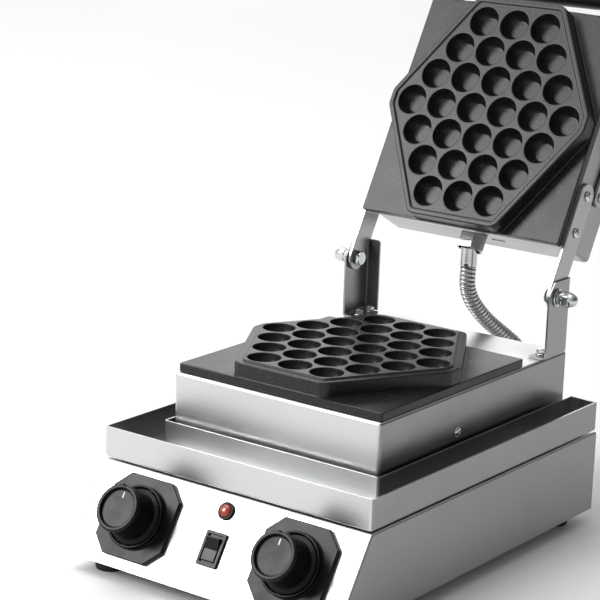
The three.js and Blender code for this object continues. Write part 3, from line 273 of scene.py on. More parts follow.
def brushed_steel(name, grain, light, dark, polish=(0.3, 0.36)):
    """Belt-ground stainless: streaks in the gloss and a faint cloudiness of handling. The strokes
    are 0.1 mm wide and 30 mm long on the real sheet, drawn 0.7 mm wide so that they show."""
    made, tree, spot = begun(name)
    askew = (0.5, 0.03, 0.03)  # turned a little, so that no face lies along the noise's own grid
    strokes = add(tree, "ShaderNodeMapping", {"Vector": spot, "Rotation": askew, "Scale": grain})
    streak = add(tree, "ShaderNodeTexNoise", {"Vector": strokes, "Scale": 1, "Detail": 3})
    cloud = add(tree, "ShaderNodeTexNoise", {"Vector": spot, "Scale": 1 / 0.045, "Detail": 2})
    gloss = (streak, 0.3, 0.7, *polish), (cloud, 0.3, 0.7, -0.03, 0.05)
    return dressed(made, streak, (dark, light), gloss, (streak, 0.006, 0.0002), {"Metallic": 1})


ACROSS = (1 / 0.030, 1 / 0.0007, 1 / 0.0007)  # strokes along X
LENGTHWAYS = (1 / 0.0007, 1 / 0.030, 1 / 0.0007)  # strokes along Y
steel_across = brushed_steel("stainless_brushed_across", ACROSS, "#dcdcdd", "#d0d1d1")
# The same stainless in a darker tone, for the faces that look left and right: painted shade.
steel_lengthways_painted_shade = brushed_steel("stainless_brushed_lengthways_painted_shade", LENGTHWAYS, "#9b9c9d", "#8d8e8f")


def side_walls(made, finish, least=0.7):
    """Faces whose normal has more than least along X, left or right, take a second material: a
    darker copy of the steel, painted shade on the side faces.
    """
    made.data.materials.append(finish)
    normals = np.empty(len(made.data.polygons) * 3, np.float32)
    made.data.polygons.foreach_get("normal", normals)
    facing = (np.abs(normals.reshape(-1, 3)[:, 0]) > least).astype(np.int32)
    made.data.polygons.foreach_set("material_index", facing)


BASE_HALF, BASE_REAR = 144.5, 199.53
PANEL_TOP, DECK = -170.53, 90.5  # y and z of the edge where the front panel meets the deck
BASE_SECTION = [(-218.3, 14), (PANEL_TOP, DECK), (BASE_REAR, DECK), (BASE_REAR, 14)]
levels = edged(-BASE_HALF, BASE_HALF, 2)
rings = stacked(BASE_SECTION, [0.1, 3.5, 3, 0.1], levels, moved=[1, 1, 1, 0])
base = piece(
    "base", "sheet", skinned(standing(rings[..., [2, 0, 1]]), closed=False),
    "base", steel_across, ["base_shell"], wall=1.5,
)
# Its faces that look left and right take the darker steel: painted shade.
side_walls(base, steel_lengthways_painted_shade)


# Floor plate: zinc-plated sheet with ventilation slots, screwed under the base.
# It keeps its CAD shape; the zinc shows as pale patches with grains a few mm across.
def galvanised(name, light, dark, grain=4.0, gloss=(0.3, 0.46)):
    """Zinc-dipped steel: crystals of zinc, each a slightly different grey."""
    made, tree, spot = begun(name)
    crystals = {"Vector": spot, "Scale": 1000 / grain}
    crystals = add(tree, "ShaderNodeTexVoronoi", crystals, out="Color")
    grey = add(tree, "ShaderNodeSeparateColor", {"Color": crystals})
    return dressed(made, grey, (dark, light), [(grey, 0, 1, *gloss)], sockets={"Metallic": 1})


zinc_sheet = galvanised("zinc_plated_sheet", "#c3c6c8", "#a9acaf")
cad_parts["base_floor"].data.materials[0] = zinc_sheet


# Feet: four moulded rubber feet under the floor plate, wider at the top than at the sole.
# Each sole is hollow in the middle, where the real one has its screw.
def moulded(name, light, dark, gloss=(0.45, 0.6), pore=0.5, depth=0.05, shine=0.4):
    """Moulded polymer: a fine skin texture from the tool, with low uneven gloss."""
    made, tree, spot = begun(name)
    skin = add(tree, "ShaderNodeTexNoise", {"Vector": spot, "Scale": 1000 / pore, "Detail": 2})
    wear = add(tree, "ShaderNodeTexNoise", {"Vector": spot, "Scale": 1 / 0.02, "Detail": 3})
    gloss, bump = [(wear, 0.3, 0.7, *gloss)], (skin, depth, 0.0002)
    return dressed(made, wear, (dark, light), gloss, bump, {"Specular IOR Level": shine})


def turned(profile, sides=64, flats=None):
    """A profile of radius and height carried round the axis. With flats, the radius is cut at
    flats / cos(angle to the nearest face), so that a chamfered profile makes a nut."""
    radius, heights = np.asarray(profile, float).T[..., None]
    angle = np.arange(sides) * 2 * math.pi / sides
    if flats:
        from_face = (angle + math.pi / 6) % (math.pi / 3) - math.pi / 6
        radius = np.minimum(radius, flats / np.cos(from_face))
    return points_of(radius * np.cos(angle), radius * np.sin(angle), heights)


rubber = moulded("rubber_moulded", "#232323", "#161616", gloss=(0.6, 0.8), pore=0.8, depth=0.15)
FOOT = [
    (0, 3.2), (4.4, 3.2), (4.9, 2.8), (5.2, 0.5), (5.8, 0), (11.6, 0), (12.3, 0.4), (12.7, 1.3),
    (13.6, 7), (14.7, 12.4), (14.7, 13.2), (14.3, 13.7), (0, 13.7),
]
SIDES = (("left", -1), ("right", 1))
FOOT_X = 118.5
for end, y in (("front", -192.3), ("rear", 173.5)):
    for name, side in SIDES:
        foot = skinned(standing(turned(FOOT) + (side * FOOT_X, y, 0)), caps="none")
        named = "foot_" + end + "_" + name
        piece(named, "rubber", foot, "base", rubber)


# Drip tray: stainless sheet folded to a channel that runs round three sides of the housing.
# Its upright edges are 28 mm high, the outer corners are welded and the back ends closed.
TRAY_INNER, TRAY_FRONT, TRAY_REAR = 115.5, -122.53, 194.53
TRAY_SIDE, TRAY_APRON = 29.0, 49.5  # width of the side and front channels
TRAY_LOW, TRAY_HIGH, TRAY_BEND = 92.3, 120.3, 2.2
fold = np.radians([0, 22, 45, 68, 90])
bend = TRAY_BEND * np.column_stack([1 - np.cos(fold), 1 - np.sin(fold)])
tall = TRAY_HIGH - TRAY_LOW
section = [(0, tall, 0)] + [(s, h, 0) for s, h in bend]  # the inner wall: its reach and height
section += [(-s, h, 1) for s, h in bend[::-1]] + [(0, tall, 1)]  # and the outer one
section = np.array(section)
reach_side = section[:, 0] + section[:, 2] * TRAY_SIDE + TRAY_INNER
reach_front = section[:, 0] + section[:, 2] * TRAY_APRON - TRAY_FRONT
bends = np.where(section[:, 2] > 0, 3.0, 1.5)
rings = []
for x, y, r, h in zip(reach_side, reach_front, bends, section[:, 1]):
    ring = rounded([(x, TRAY_REAR), (x, -y), (-x, -y), (-x, TRAY_REAR)], [0, r, r, 0])
    rings.append(points_of(*ring.T, TRAY_LOW + h))
skin = skinned(standing(rings), caps="none", closed=False)
starts = np.arange(len(rings)) * len(ring)
ends = [starts.tolist(), (starts + len(ring) - 1)[::-1].tolist()]
tray = piece(
    "drip_tray", "sheet", (skin[0], skin[1] + ends),
    "drip_tray", steel_across, wall=1.5,
)
# Its faces that look left and right take the darker steel: painted shade.
side_walls(tray, steel_lengthways_painted_shade)


# Heating housing: a stainless box folded from one sheet, open below, lying on the deck.
# Its top is cut away under the plate, and its corners are welded and polished.
HOUSING_BOX = box(-111.5, 111.5, -117.03, 190.53)
HOUSING_LOW, HOUSING_TOP, HOUSING_IN = 90.8, 164.8, 163.3  # its rim, and its top outside and in
outside = edged(HOUSING_LOW, HOUSING_TOP, 2.8)[5:]
inside = edged(HOUSING_LOW, HOUSING_IN, 1.3)[5:] + (1.5, 0)
rings = stacked(HOUSING_BOX, 3.4, [(0, HOUSING_LOW), *outside])
well = stacked(box(-97, 97, -97, 97), 4, [(0, HOUSING_TOP), (0, HOUSING_IN)])
lining = stacked(HOUSING_BOX, 3.4, [*inside[::-1], (1.5, HOUSING_LOW)])
housing = piece(
    "housing", "sheet",
    skinned(standing(np.vstack([rings, well, lining])), caps="none", wrap=True),
    "base", steel_across,
)
# Its faces that look left and right take the darker steel: painted shade.
side_walls(housing, steel_lengthways_painted_shade)


# Heaters: a bent tubular element under each plate, and a pad of mineral wool behind it.
# Both keep their CAD shape; the element's sheath is dull heat-tinted steel.
def mineral_wool(name):
    """Pressed mineral wool: matted fibres, pale and quite dull."""
    made, tree, spot = begun(name)
    length = (1 / 0.006, 1 / 0.001, 1 / 0.001)
    fibres = add(tree, "ShaderNodeMapping", {"Vector": spot, "Scale": length})
    fibres = {"Vector": fibres, "Scale": 1, "Distortion": 1.5}
    fibres = add(tree, "ShaderNodeTexNoise", fibres)
    tones, bump = ("#a8a08a", "#ddd7c6"), (fibres, 0.6, 0.0006)
    return dressed(made, fibres, tones, bump=bump, sockets={"Roughness": 0.95})


heater_sheath = galvanised(
    "heater_sheath_heat_tinted", "#8a8277", "#6d675f", grain=6, gloss=(0.45, 0.6)
)
wool = mineral_wool("mineral_wool_pressed")
for plate_side in ("lower", "upper"):
    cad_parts[plate_side + "_element"].data.materials[0] = heater_sheath
    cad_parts[plate_side + "_insulation"].data.materials[0] = wool


# Plates: cast aluminium with a baked non-stick coat, a flat slab with a raised six-sided block
# that holds 30 round cups. The rim round the cups is low on the lower plate, proud on the upper.
CUP_PITCH, ROW_STEP = 34, 34 * math.sin(math.pi / 3)
CUP_ROWS = (3, 4, 5, 6, 5, 4, 3)
CUP_SIDES = 56
CUP_PROFILE = np.array([
    (16.3, 0), (15.7, 0), (15.35, -0.07), (15.1, -0.27), (15, -0.6), (14.85, -2), (14.45, -4),
    (13.9, -6), (13.2, -7.7), (12.2, -9.4), (11.1, -10.9), (10.2, -11.9), (9.5, -12.6), (9, -12.9),
    (8.5, -13), (8, -13),
])
SLAB_BOX = box(-110, 110, -113.53, 113.53)
BLOCK_HEIGHT, SLAB_DEPTH = 15, 22.5  # below the cup field
centres = np.array([
    ((i - (count - 1) / 2) * CUP_PITCH, (row - 3) * ROW_STEP)
    for row, count in enumerate(CUP_ROWS) for i in range(count)
])


def block_corners():
    """Corners of the block: six sides 113.03 and 98.31 mm from the centre, cut off at x 109."""
    slant, flat, side = 98.31, 113.03, 109.0
    half = (slant - flat * 0.5) / math.cos(math.pi / 6)  # x where a slanted side meets a flat one
    low = (slant - side * math.cos(math.pi / 6)) / 0.5
    quarter = [(half, -flat), (side, -low), (side, low), (half, flat)]
    return quarter + [(-x, -y) for x, y in quarter]


def filled(outer, holes, keep):
    """Triangles (Delaunay) of a flat region between an outline and the outlines of its holes:
    those whose middle passes the keep test."""
    loops = [outer, *holes]
    starts = np.cumsum([0] + [len(loop) for loop in loops])
    edges = np.vstack([
        np.column_stack([np.arange(len(loop)), np.roll(np.arange(len(loop)), -1)]) + s
        for loop, s in zip(loops, starts)
    ])
    flat = [Vector(p) for p in np.vstack(loops).tolist()]
    points, _, faces, _, _, _ = delaunay_2d_cdt(flat, edges.tolist(), [], 0, 1e-5)
    points, faces = np.array(points), np.array(faces)
    return points, faces[keep(points[faces].mean(1))]


def flat_skin(points, faces, height):
    """A flat region at one height: its points get that height as their third number."""
    return points_of(*points.T, height), faces.tolist()


def plate_skin(step, band):
    """A plate with its cup field at height 0: slab, block with a rim band, and the cups."""
    levels = np.vstack([edged(-SLAB_DEPTH, -BLOCK_HEIGHT, 0.8), [(1.4, -BLOCK_HEIGHT)]])
    slab = stacked(SLAB_BOX, 2.5, levels)
    curve = 1.2  # radius of the block's foot and of its top edge
    t = np.linspace(0, math.pi / 2, 5)
    foot = np.array([(-curve, 0), (-0.35 * curve, 0.35 * curve), (0, curve)]) - (0, BLOCK_HEIGHT)
    top = np.column_stack([curve * (1 - np.cos(t)), step - curve * (1 - np.sin(t))])
    run = [(1.8, step), (band - 1.2, step), (band - 0.6, step), (band - 0.15, step * 0.85)]
    run += [(band + 0.45, step * 0.15), (band + 0.9, 0), (band + 1.4, 0)]
    block = stacked(block_corners(), 11, [*foot, *top, *run])
    hole = block[0, :, :2]
    inside = lambda p: ~((np.abs(p[:, 0]) < 109.8) & in_outline(p, hole))
    deck = flat_skin(*filled(slab[-1, :, :2], [hole], inside), -BLOCK_HEIGHT)
    circle = turned([(1, 0)], CUP_SIDES)[0, :, :2]
    mouths = centres[:, None] + CUP_PROFILE[0, 0] * circle
    mouth = CUP_PROFILE[0, 0] * 0.995
    off_cups = lambda p: np.linalg.norm(p[:, None] - centres, axis=2).min(1) > mouth
    field = flat_skin(*filled(block[-1, :, :2], list(mouths), off_cups), 0)
    places = centres[:, None, None] + CUP_PROFILE[:, None, :1] * circle
    cups = points_of(*np.moveaxis(places, -1, 0), CUP_PROFILE[:, 1:])
    wells = [skinned(cup, caps="last") for cup in cups]
    sides = skinned(slab, caps="first"), skinned(block, caps="none")
    return joined(sides[0], deck, sides[1], field, *wells)


def in_outline(points, outline):
    """Whether points lie inside a convex outline that turns left: left of every side."""
    along = np.roll(outline, -1, 0) - outline
    off = points[:, None] - outline
    return (along[:, 0] * off[..., 1] - along[:, 1] * off[..., 0] > -1e-6).all(1)


PIVOT_Y, PIVOT_Z = 158, 223.1
SWING = math.radians(118.85)  # how far the lid stands open
LID_FACE = 188.1  # height of the upper plate's cup field when the lid is shut


def opened(points):
    """A place given with the lid shut, turned back about the pivots."""
    x, y, z = xyz(points)
    y, z = rotated(y - PIVOT_Y, z - PIVOT_Z, -SWING)
    return standing(points_of(x, y + PIVOT_Y, z + PIVOT_Z))


def nonstick(name):
    """Sprayed and baked coat on a cast plate: charcoal with a satin gloss, a fine orange peel
    (0.5 mm grains, drawn 0.9 mm) and pale specks of mineral filler."""
    made, tree, spot = begun(name)
    peel = {"Vector": spot, "Scale": 1 / 0.0009, "Detail": 3, "Roughness": 0.7}
    peel = add(tree, "ShaderNodeTexNoise", peel)
    drift = add(tree, "ShaderNodeTexNoise", {"Vector": spot, "Scale": 1 / 0.03, "Detail": 3})
    speck = add(tree, "ShaderNodeMapRange", {0: peel, 1: 0.5, 2: 0.72, 3: 0, 4: 1})
    gloss = (peel, 0.3, 0.7, 0.25, 0.37), (drift, 0.3, 0.7, -0.02, 0.02)
    tones, bump = ("#0a0a0b", "#464647"), (peel, 0.22, 0.0003)
    return dressed(made, speck, tones, gloss, bump, {"IOR": 1.42})


coat = nonstick("nonstick_coat_on_cast_aluminium")
lower, faces = plate_skin(-1.5, 7)
skin = standing(lower + (0, 0, PLATE_FACE)), faces
piece("lower_plate", "casting", skin, "base", coat, sharp=38)
upper, faces = plate_skin(1.5, 5)
skin = opened(upper * (1, 1, -1) + (0, 0, LID_FACE)), faces
piece("upper_plate", "casting", skin, "lid", coat, sharp=38)


# Knobs and bezels: black thermoset, pressed in a tool. Each bezel is a square with cut corners and
# a collar; the knob sits in the collar on the spindle, with a pointer notch and a pale index line.
def on_panel(points, shift, drop):
    """Drawn with y up the slope and z out of the panel, which falls 58 degrees from the deck."""
    x, y, out = xyz(points)
    y, z = rotated(y - drop, out, math.radians(58))
    return standing(points_of(x + shift, PANEL_TOP + y, DECK + z))


thermoset = moulded(
    "thermoset_pressed_black", "#121213", "#0a0a0b",
    gloss=(0.2, 0.32), pore=0.7, depth=0.04, shine=0.16,
)
index_paint = moulded("index_line_enamel", "#e6e4de", "#d6d4ce", gloss=(0.35, 0.5))
CONTROL_DROP = 43.5
BEZEL_HALF, BEZEL_CUT = 37.4, 14.5
cut = BEZEL_HALF - BEZEL_CUT
bezel_outline = [
    (cut, -BEZEL_HALF), (BEZEL_HALF, -cut), (BEZEL_HALF, cut), (cut, BEZEL_HALF),
    (-cut, BEZEL_HALF), (-BEZEL_HALF, cut), (-BEZEL_HALF, -cut), (-cut, -BEZEL_HALF),
]
COLLAR = [
    (28.9, 4.3), (28.5, 4.7), (28.5, 8.5), (28.2, 9), (27.7, 9.3), (27, 9.3), (26.4, 9.1),
    (26.1, 8.6), (26.1, 4.7), (25.8, 4.4), (4.4, 4.4), (4.2, 4.2), (4.2, 0.3),
]
KNOB = [
    (3.5, -9.5), (3.5, 4.6), (24.8, 4.6), (25.5, 5.2), (25.5, 7.8), (25.2, 8.5), (24.4, 9.1),
    (22.6, 9.6), (21.7, 10.1), (21.3, 11), (20.9, 14), (20.5, 20.3), (20.7, 26), (21.3, 32),
    (21.5, 34), (21.4, 35), (20.9, 35.7), (20.1, 36), (18.4, 36), (17.6, 35.8), (17.2, 35.2),
    (17, 33.8), (16.6, 33.2), (15.9, 33), (9, 33), (0, 33),
]
for name, x in (("timer", -84), ("thermostat", 84)):
    slab = skinned(on_panel(stacked(bezel_outline, 1.6, edged(0.3, 4.3, 0.8)), x, CONTROL_DROP))
    collar = skinned(on_panel(turned(COLLAR, 96), x, CONTROL_DROP), caps="none")
    piece(name + "_bezel", "moulding", joined(slab, collar), "base", thermoset)
    knob = turned(KNOB, 120)
    angle = np.arctan2(knob[..., 0], knob[..., 1])  # from the top of the knob
    narrow = np.clip(1.8 - np.abs(angle) * 21.5, 0, 0.6) / 0.6
    notch = narrow * np.clip((knob[..., 2] - 9.6) / 1.2, 0, 1)
    radius = np.hypot(knob[..., 0], knob[..., 1])
    lowered = np.where(radius > 17.5, np.minimum(radius, radius - notch * (radius - 19.3)), radius)
    knob[..., :2] *= (lowered / np.maximum(radius, 1e-6))[..., None]
    skin = skinned(on_panel(knob, x, CONTROL_DROP), caps="first")
    body = name + "_knob"
    piece(body, "moulding", skin, body, thermoset)
    line = stacked(box(-0.7, 0.7, 9.5, 15.2), 0.5, edged(32.9, 33.15, 0.1))
    skin = skinned(on_panel(line, x, CONTROL_DROP))
    piece(name, "index_line", skin, body, index_paint, ())
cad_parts["timer_body"].data.materials[0] = thermoset
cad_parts["thermostat_body"].data.materials[0] = moulded(
    "steatite_pressed", "#e2dccb", "#cfc8b4", gloss=(0.5, 0.7), pore=1.2, depth=0.1
)


# Pilot lamp: a black snap-in ring with a domed amber lens, pushed through the middle of the panel.
# The lens is clear styrene, dyed amber, and shown unlit.
def amber_lens(name):
    """Clear moulded styrene, dyed amber, with faint moulded rings that scatter the light."""
    made, tree, spot = begun(name)
    swirl = add(tree, "ShaderNodeTexNoise", {"Vector": spot, "Scale": 1 / 0.003, "Detail": 2})
    gloss = [(swirl, 0.3, 0.7, 0.08, 0.16)]
    return dressed(made, swirl, ("#7c2410", "#b8431a"), gloss, sockets={"Coat Weight": 0.6})


LAMP_DROP = 15.5
LAMP_RING = [
    (5, -16), (5, 0.3), (7.6, 0.3), (8, 0.7), (8, 1.6), (7.7, 2), (7.1, 2.2), (6.3, 2.2),
    (5.9, 2.05), (5.7, 1.7), (5.7, 0.8),
]
LAMP_LENS = [
    (5.6, 0.8), (5.6, 2.1), (5.35, 3), (4.7, 3.8), (3.6, 4.4), (2.2, 4.75), (1, 4.85), (0, 4.85)
]
ring = skinned(on_panel(turned(LAMP_RING), 0, LAMP_DROP), caps="first")
piece("pilot_lamp", "ring", ring, "base", thermoset)
dome = skinned(on_panel(turned(LAMP_LENS), 0, LAMP_DROP))
piece("pilot_lamp", "lens", dome, "base", amber_lens("styrene_lens_amber"), ())


# Mains switch: a rocker in a snap-in frame, both moulded in glossy black polyamide.
# The key is a shallow V on top, tipped to its off side.
polyamide = moulded(
    "polyamide_moulded_gloss", "#1d1d1e", "#141415",
    gloss=(0.2, 0.3), pore=0.6, depth=0.03, shine=0.2,
)
ROCKER_DROP = 50
rings = np.vstack([
    stacked(box(-9.4, 9.4, -13.9, 13.9), 1, [(0, -16), (0, 0.3)]),
    stacked(box(-11, 11, -15.5, 15.5), 2, [(0, 0.3), (0, 1.6), (0.2, 2), (0.6, 2.3)]),
    stacked(box(-7.9, 7.9, -12.4, 12.4), 0.8, [(-0.4, 2.3), (-0.1, 2.2), (0, 1.9), (0, 0.4)]),
])
rocker = skinned(on_panel(rings, 0, ROCKER_DROP))
piece("rocker_frame", "moulding", rocker, "base", polyamide)
KEY_HALF, KEY_TILT = 7, math.radians(9)
key_side = [(-8.5, -6), (8.5, -6), (10.6, 0), (10.6, 4.1), (0, 2.3), (-10.6, 4.1), (-10.6, 0)]
key_radii = [0.3, 0.3, 0.3, 0.9, 2.5, 0.9, 0.3]
y, z, x = xyz(stacked(key_side, key_radii, edged(-KEY_HALF, KEY_HALF, 0.5)))
tipped = points_of(x, *rotated(y, z, KEY_TILT))
rocker = skinned(on_panel(tipped, 0, ROCKER_DROP))
piece("rocker_key", "moulding", rocker, "rocker_key", polyamide)


# Mains gland: a moulded strain relief that screws into the back of the base.
# Its flange is drawn round here, without the real one's six wrench flats, and its cone is ribbed.
PORT_HEIGHT = 55.5  # where both fittings leave the base


def backwards(points, shift):
    """Drawn with z along the axis, which points to the back, out of the base's rear wall."""
    x, y, out = xyz(points)
    return standing(points_of(x + shift, BASE_REAR + out, PORT_HEIGHT - y))


GLAND = [(9, -9), (9, 0.3), (12.6, 0.3), (13, 0.7), (13, 3.6), (12.6, 4), (9.6, 4.2), (9.3, 4.6)]
heights = np.linspace(5.4, 16.6, 15)
RIBS = [(9.0 - 0.19 * (h - 5) + (0.45 if k % 2 else -0.25), h) for k, h in enumerate(heights)]
TIP = [(6.2, 17.2), (6, 17.8), (5.6, 18), (4.9, 18), (4.5, 17.7), (4.5, -9)]
GLAND_X = -95
gland = skinned(backwards(turned(GLAND + RIBS + TIP, 48), GLAND_X), caps="none", wrap=True)
piece("mains_gland", "moulding", gland, "base", polyamide)


# Elbow and nut: a nickel-plated brass conduit fitting, screwed into the back of the base.
# The nut is turned from hexagon bar, and the elbow is a bent tube brazed into it.
def plated(name, light, dark, gloss=(0.1, 0.2)):
    """Nickel or zinc plate on turned metal: bright, with tool marks 0.6 mm apart in the gloss."""
    made, tree, spot = begun(name)
    fine = add(tree, "ShaderNodeMapping", {"Vector": spot, "Scale": (1 / 0.0006,) * 3})
    fine = add(tree, "ShaderNodeTexNoise", {"Vector": fine, "Scale": 1, "Detail": 2})
    haze = add(tree, "ShaderNodeTexNoise", {"Vector": spot, "Scale": 1 / 0.006, "Detail": 3})
    gloss = [(fine, 0.3, 0.7, *gloss)]
    return dressed(made, haze, (dark, light), gloss, (fine, 0.04, 0.0001), {"Metallic": 1})


nickel = plated("nickel_plated_brass", "#cfcfcd", "#b6b6b4")
GLAND_NUT = [
    (9, -8), (9, 0.3), (12.9, 0.3), (13.6, 0.7), (14.6, 1.3), (14.6, 15.3), (13.6, 16.1),
    (12.6, 16.5), (11.6, 16.5), (11.1, 16.1), (11, 15.4), (11, 9.0), (10.6, 8.8), (0, 8.8),
]
ELBOW_NUT = GLAND_NUT[:8] + [(9.4, 16.5), (9, 16.3), (8.9, 15.6), (0, 15.6)]
ELBOW_X, NUT_FLATS = 35, 12.5
nut = turned(ELBOW_NUT, 72, flats=NUT_FLATS)[..., [1, 0, 2]]  # a corner to each side
nut = skinned(backwards(nut, ELBOW_X), caps="first")
piece("elbow_nut", "turned", nut, "base", nickel)


def piped(path, radius, sides=40):
    """A round section of the given radius at each point of a path: one side of the section points
    along X, less its part along the path, and the other is square to both."""
    path, radius = np.asarray(path, float), np.asarray(radius, float)
    along = np.gradient(path, axis=0)
    along /= np.linalg.norm(along, axis=1)[:, None]
    across = np.array([1.0, 0, 0]) - along[:, :1] * along
    across /= np.linalg.norm(across, axis=1)[:, None]
    other = np.cross(along, across)
    angle = np.arange(sides) * 2 * math.pi / sides
    spread = across[:, None] * np.cos(angle)[:, None] + other[:, None] * np.sin(angle)[:, None]
    radius = radius[:, None] if radius.ndim == 1 else radius
    return path[:, None] + spread * radius[..., None]


ELBOW_BACK, ELBOW_BEND = 227.33, 22
t = np.linspace(0, math.pi / 2, 24)
reach, rise = ELBOW_BACK + ELBOW_BEND * np.sin(t), PORT_HEIGHT + ELBOW_BEND * (1 - np.cos(t))
run_in = [(216.4, PORT_HEIGHT), (222, PORT_HEIGHT)]
run_out = [(ELBOW_BACK + ELBOW_BEND, z) for z in (78.6, 79.6, 80.1, 80.5)]
arc = np.insert(np.vstack([run_in, np.column_stack([reach, rise]), run_out]), 0, ELBOW_X, axis=1)
bore = np.concatenate([np.full(len(arc) - 4, 8.3), [8.3, 8.75, 8.75, 8.4]])
tube = skinned(standing(piped(arc, bore)))
piece("conduit_elbow", "tube", tube, "base", nickel)


# Hinge brackets: 2 mm stainless plate, with a foot folded inwards along the bottom and a flange
# folded inwards along the back, which stops the open lid. The front edge slants at the top.
UPRIGHT = (1 / 0.0009, 1 / 0.0009, 1 / 0.02)  # strokes along Z
# A darker stainless for the brackets, and for the faces of the lid frame and cover that look left
# and right: the darker tone is painted shade.
plate_steel_painted_shade = brushed_steel("stainless_plate_sawn_edges_painted_shade", UPRIGHT, "#a2a3a4", "#949596")
FOOT_Z, BRACKET_TOP, BRACKET_OUT = 165.1, 238.1, 115.6
BRACKET_FRONT, BRACKET_BACK = 144.0, 182.3


def bracket_skin(side):
    """A grid of columns along the foot, the bend and the cheek, whose top follows the front slant,
    and a second grid that carries the cheek's back edge round a bend into the flange."""
    r, steps = 3.5, 7
    a = np.radians(np.linspace(0, 90, steps))
    # the outside face of the sheet: foot, bend, then the cheek up to its top
    rows = np.linspace(0, 1, 16)
    y = np.array([0, 2, 4, 6, 8, 10, 12, 20, 28, BRACKET_BACK - BRACKET_FRONT - r]) + BRACKET_FRONT
    top = BRACKET_TOP - 11.6 * np.clip(1 - (y - BRACKET_FRONT) / 10, 0, 1)
    foot = [(x, FOOT_Z) for x in np.linspace(97, BRACKET_OUT - r, 6)[:-1]]
    curve = [(BRACKET_OUT - r + r * math.sin(b), FOOT_Z + r - r * math.cos(b)) for b in a]
    base_part = np.array(foot + curve)
    cheek = FOOT_Z + r + rows[1:, None] * (top - FOOT_Z - r)[None]
    low = points_of(base_part[:, :1], y, base_part[:, 1:])
    high = points_of(BRACKET_OUT, y, cheek)
    first = np.vstack([low, high])
    # round the back bend and along the flange
    plan = [(BRACKET_OUT - r + r * math.cos(b), BRACKET_BACK - r + r * math.sin(b)) for b in a]
    plan += [(x, BRACKET_BACK) for x in np.linspace(BRACKET_OUT - r, 103.6, 5)[1:]]
    b = np.radians(np.linspace(0, 90, 6))
    plan += [(103.6 - 4 * math.sin(q), BRACKET_BACK) for q in b[1:]]
    plan = np.array(plan)
    crest = np.concatenate([np.full(len(plan) - 6, BRACKET_TOP), BRACKET_TOP - 4 + 4 * np.cos(b)])
    ease = np.clip((BRACKET_OUT - plan[:, 0]) / 3.0, 0, 1)
    sill = FOOT_Z + r - (r - 2.2) * ease
    heights = sill[None] + rows[:, None] * (crest - sill)[None]
    second = points_of(plan[:, 0], plan[:, 1], heights)
    grids = (skinned(grid, caps="none", closed=False) for grid in (first, second))
    points, faces = joined(*grids)
    return points * (side, 1, 1), faces


for name, side in SIDES:
    points, faces = bracket_skin(side)
    skin = standing(points), faces
    bracket = piece("hinge_bracket_" + name, "sheet", skin, "base", plate_steel_painted_shade)
    shape = bmesh.new()
    shape.from_mesh(bracket.data)
    middle = Vector(standing([side * 100, 160, 200]))  # a place between the cheek and the lid
    cheek_face = max(shape.faces, key=lambda f: abs(f.normal.x) * f.calc_area())
    if (cheek_face.calc_center_median() - middle).dot(cheek_face.normal) < 0:
        bmesh.ops.reverse_faces(shape, faces=shape.faces)
    shape.to_mesh(bracket.data)
    shape.free()
    bracket.modifiers.clear()
    thickened(bracket, 2)
    bracket.modifiers.new("flats", "WEIGHTED_NORMAL")


# Bracket nuts: each bracket stands on two welded studs, held by a washer and a small nut.
# All are zinc-plated steel.
zinc_bright = plated("zinc_plated_fastener", "#d9dbdc", "#c2c5c7", gloss=(0.12, 0.24))


def nut_profile(corner, low, high, chamfer=0.7):
    """Half of a hexagon nut: chamfered at both faces, corner is the radius over its corners."""
    inner = corner - chamfer * 1.4
    mid = [(corner, low + chamfer), (corner, high - chamfer)]
    start = [(0, low), (inner - 0.4, low), (inner, low + 0.1)]
    return start + mid + [(inner, high - 0.1), (inner - 0.4, high)]


STUD = [(2.4, 5.2), (2.4, 5.5), (2.2, 5.7), (0, 5.7)]
WASHER = [(2.4, -10), (2.4, 0.1), (5, 0.1), (5.2, 0.3), (5.2, 1.1), (5, 1.3), (0, 1.3)]
STUD_X, STUD_Z = 104.1, 167.1  # on the foot's upper face
for name, side in SIDES:
    for end, y in (("front", 155), ("rear", 173)):
        washer = turned(WASHER, 40)
        hexagon = turned(nut_profile(4.62, 1.3, 5.2, 0.5) + STUD, 72, flats=4)
        at = (side * STUD_X, y, STUD_Z)
        parts = (skinned(standing(part + at), caps="first") for part in (washer, hexagon))
        named = "bracket_" + end + "_screw_" + name
        piece(named, "nut", joined(*parts), "base", zinc_bright)


# Pivots: a hexagon bolt through each arm and bracket from inside, with a washer, a nut and a
# domed cap nut outside. All are zinc-plated and bright.
def sideways(points, side, from_middle, along, height):
    """Drawn with z along the axis, which points away from the machine's middle."""
    x, y, out = xyz(points)
    return points_of(side * (from_middle + out), along + side * x, height + y)


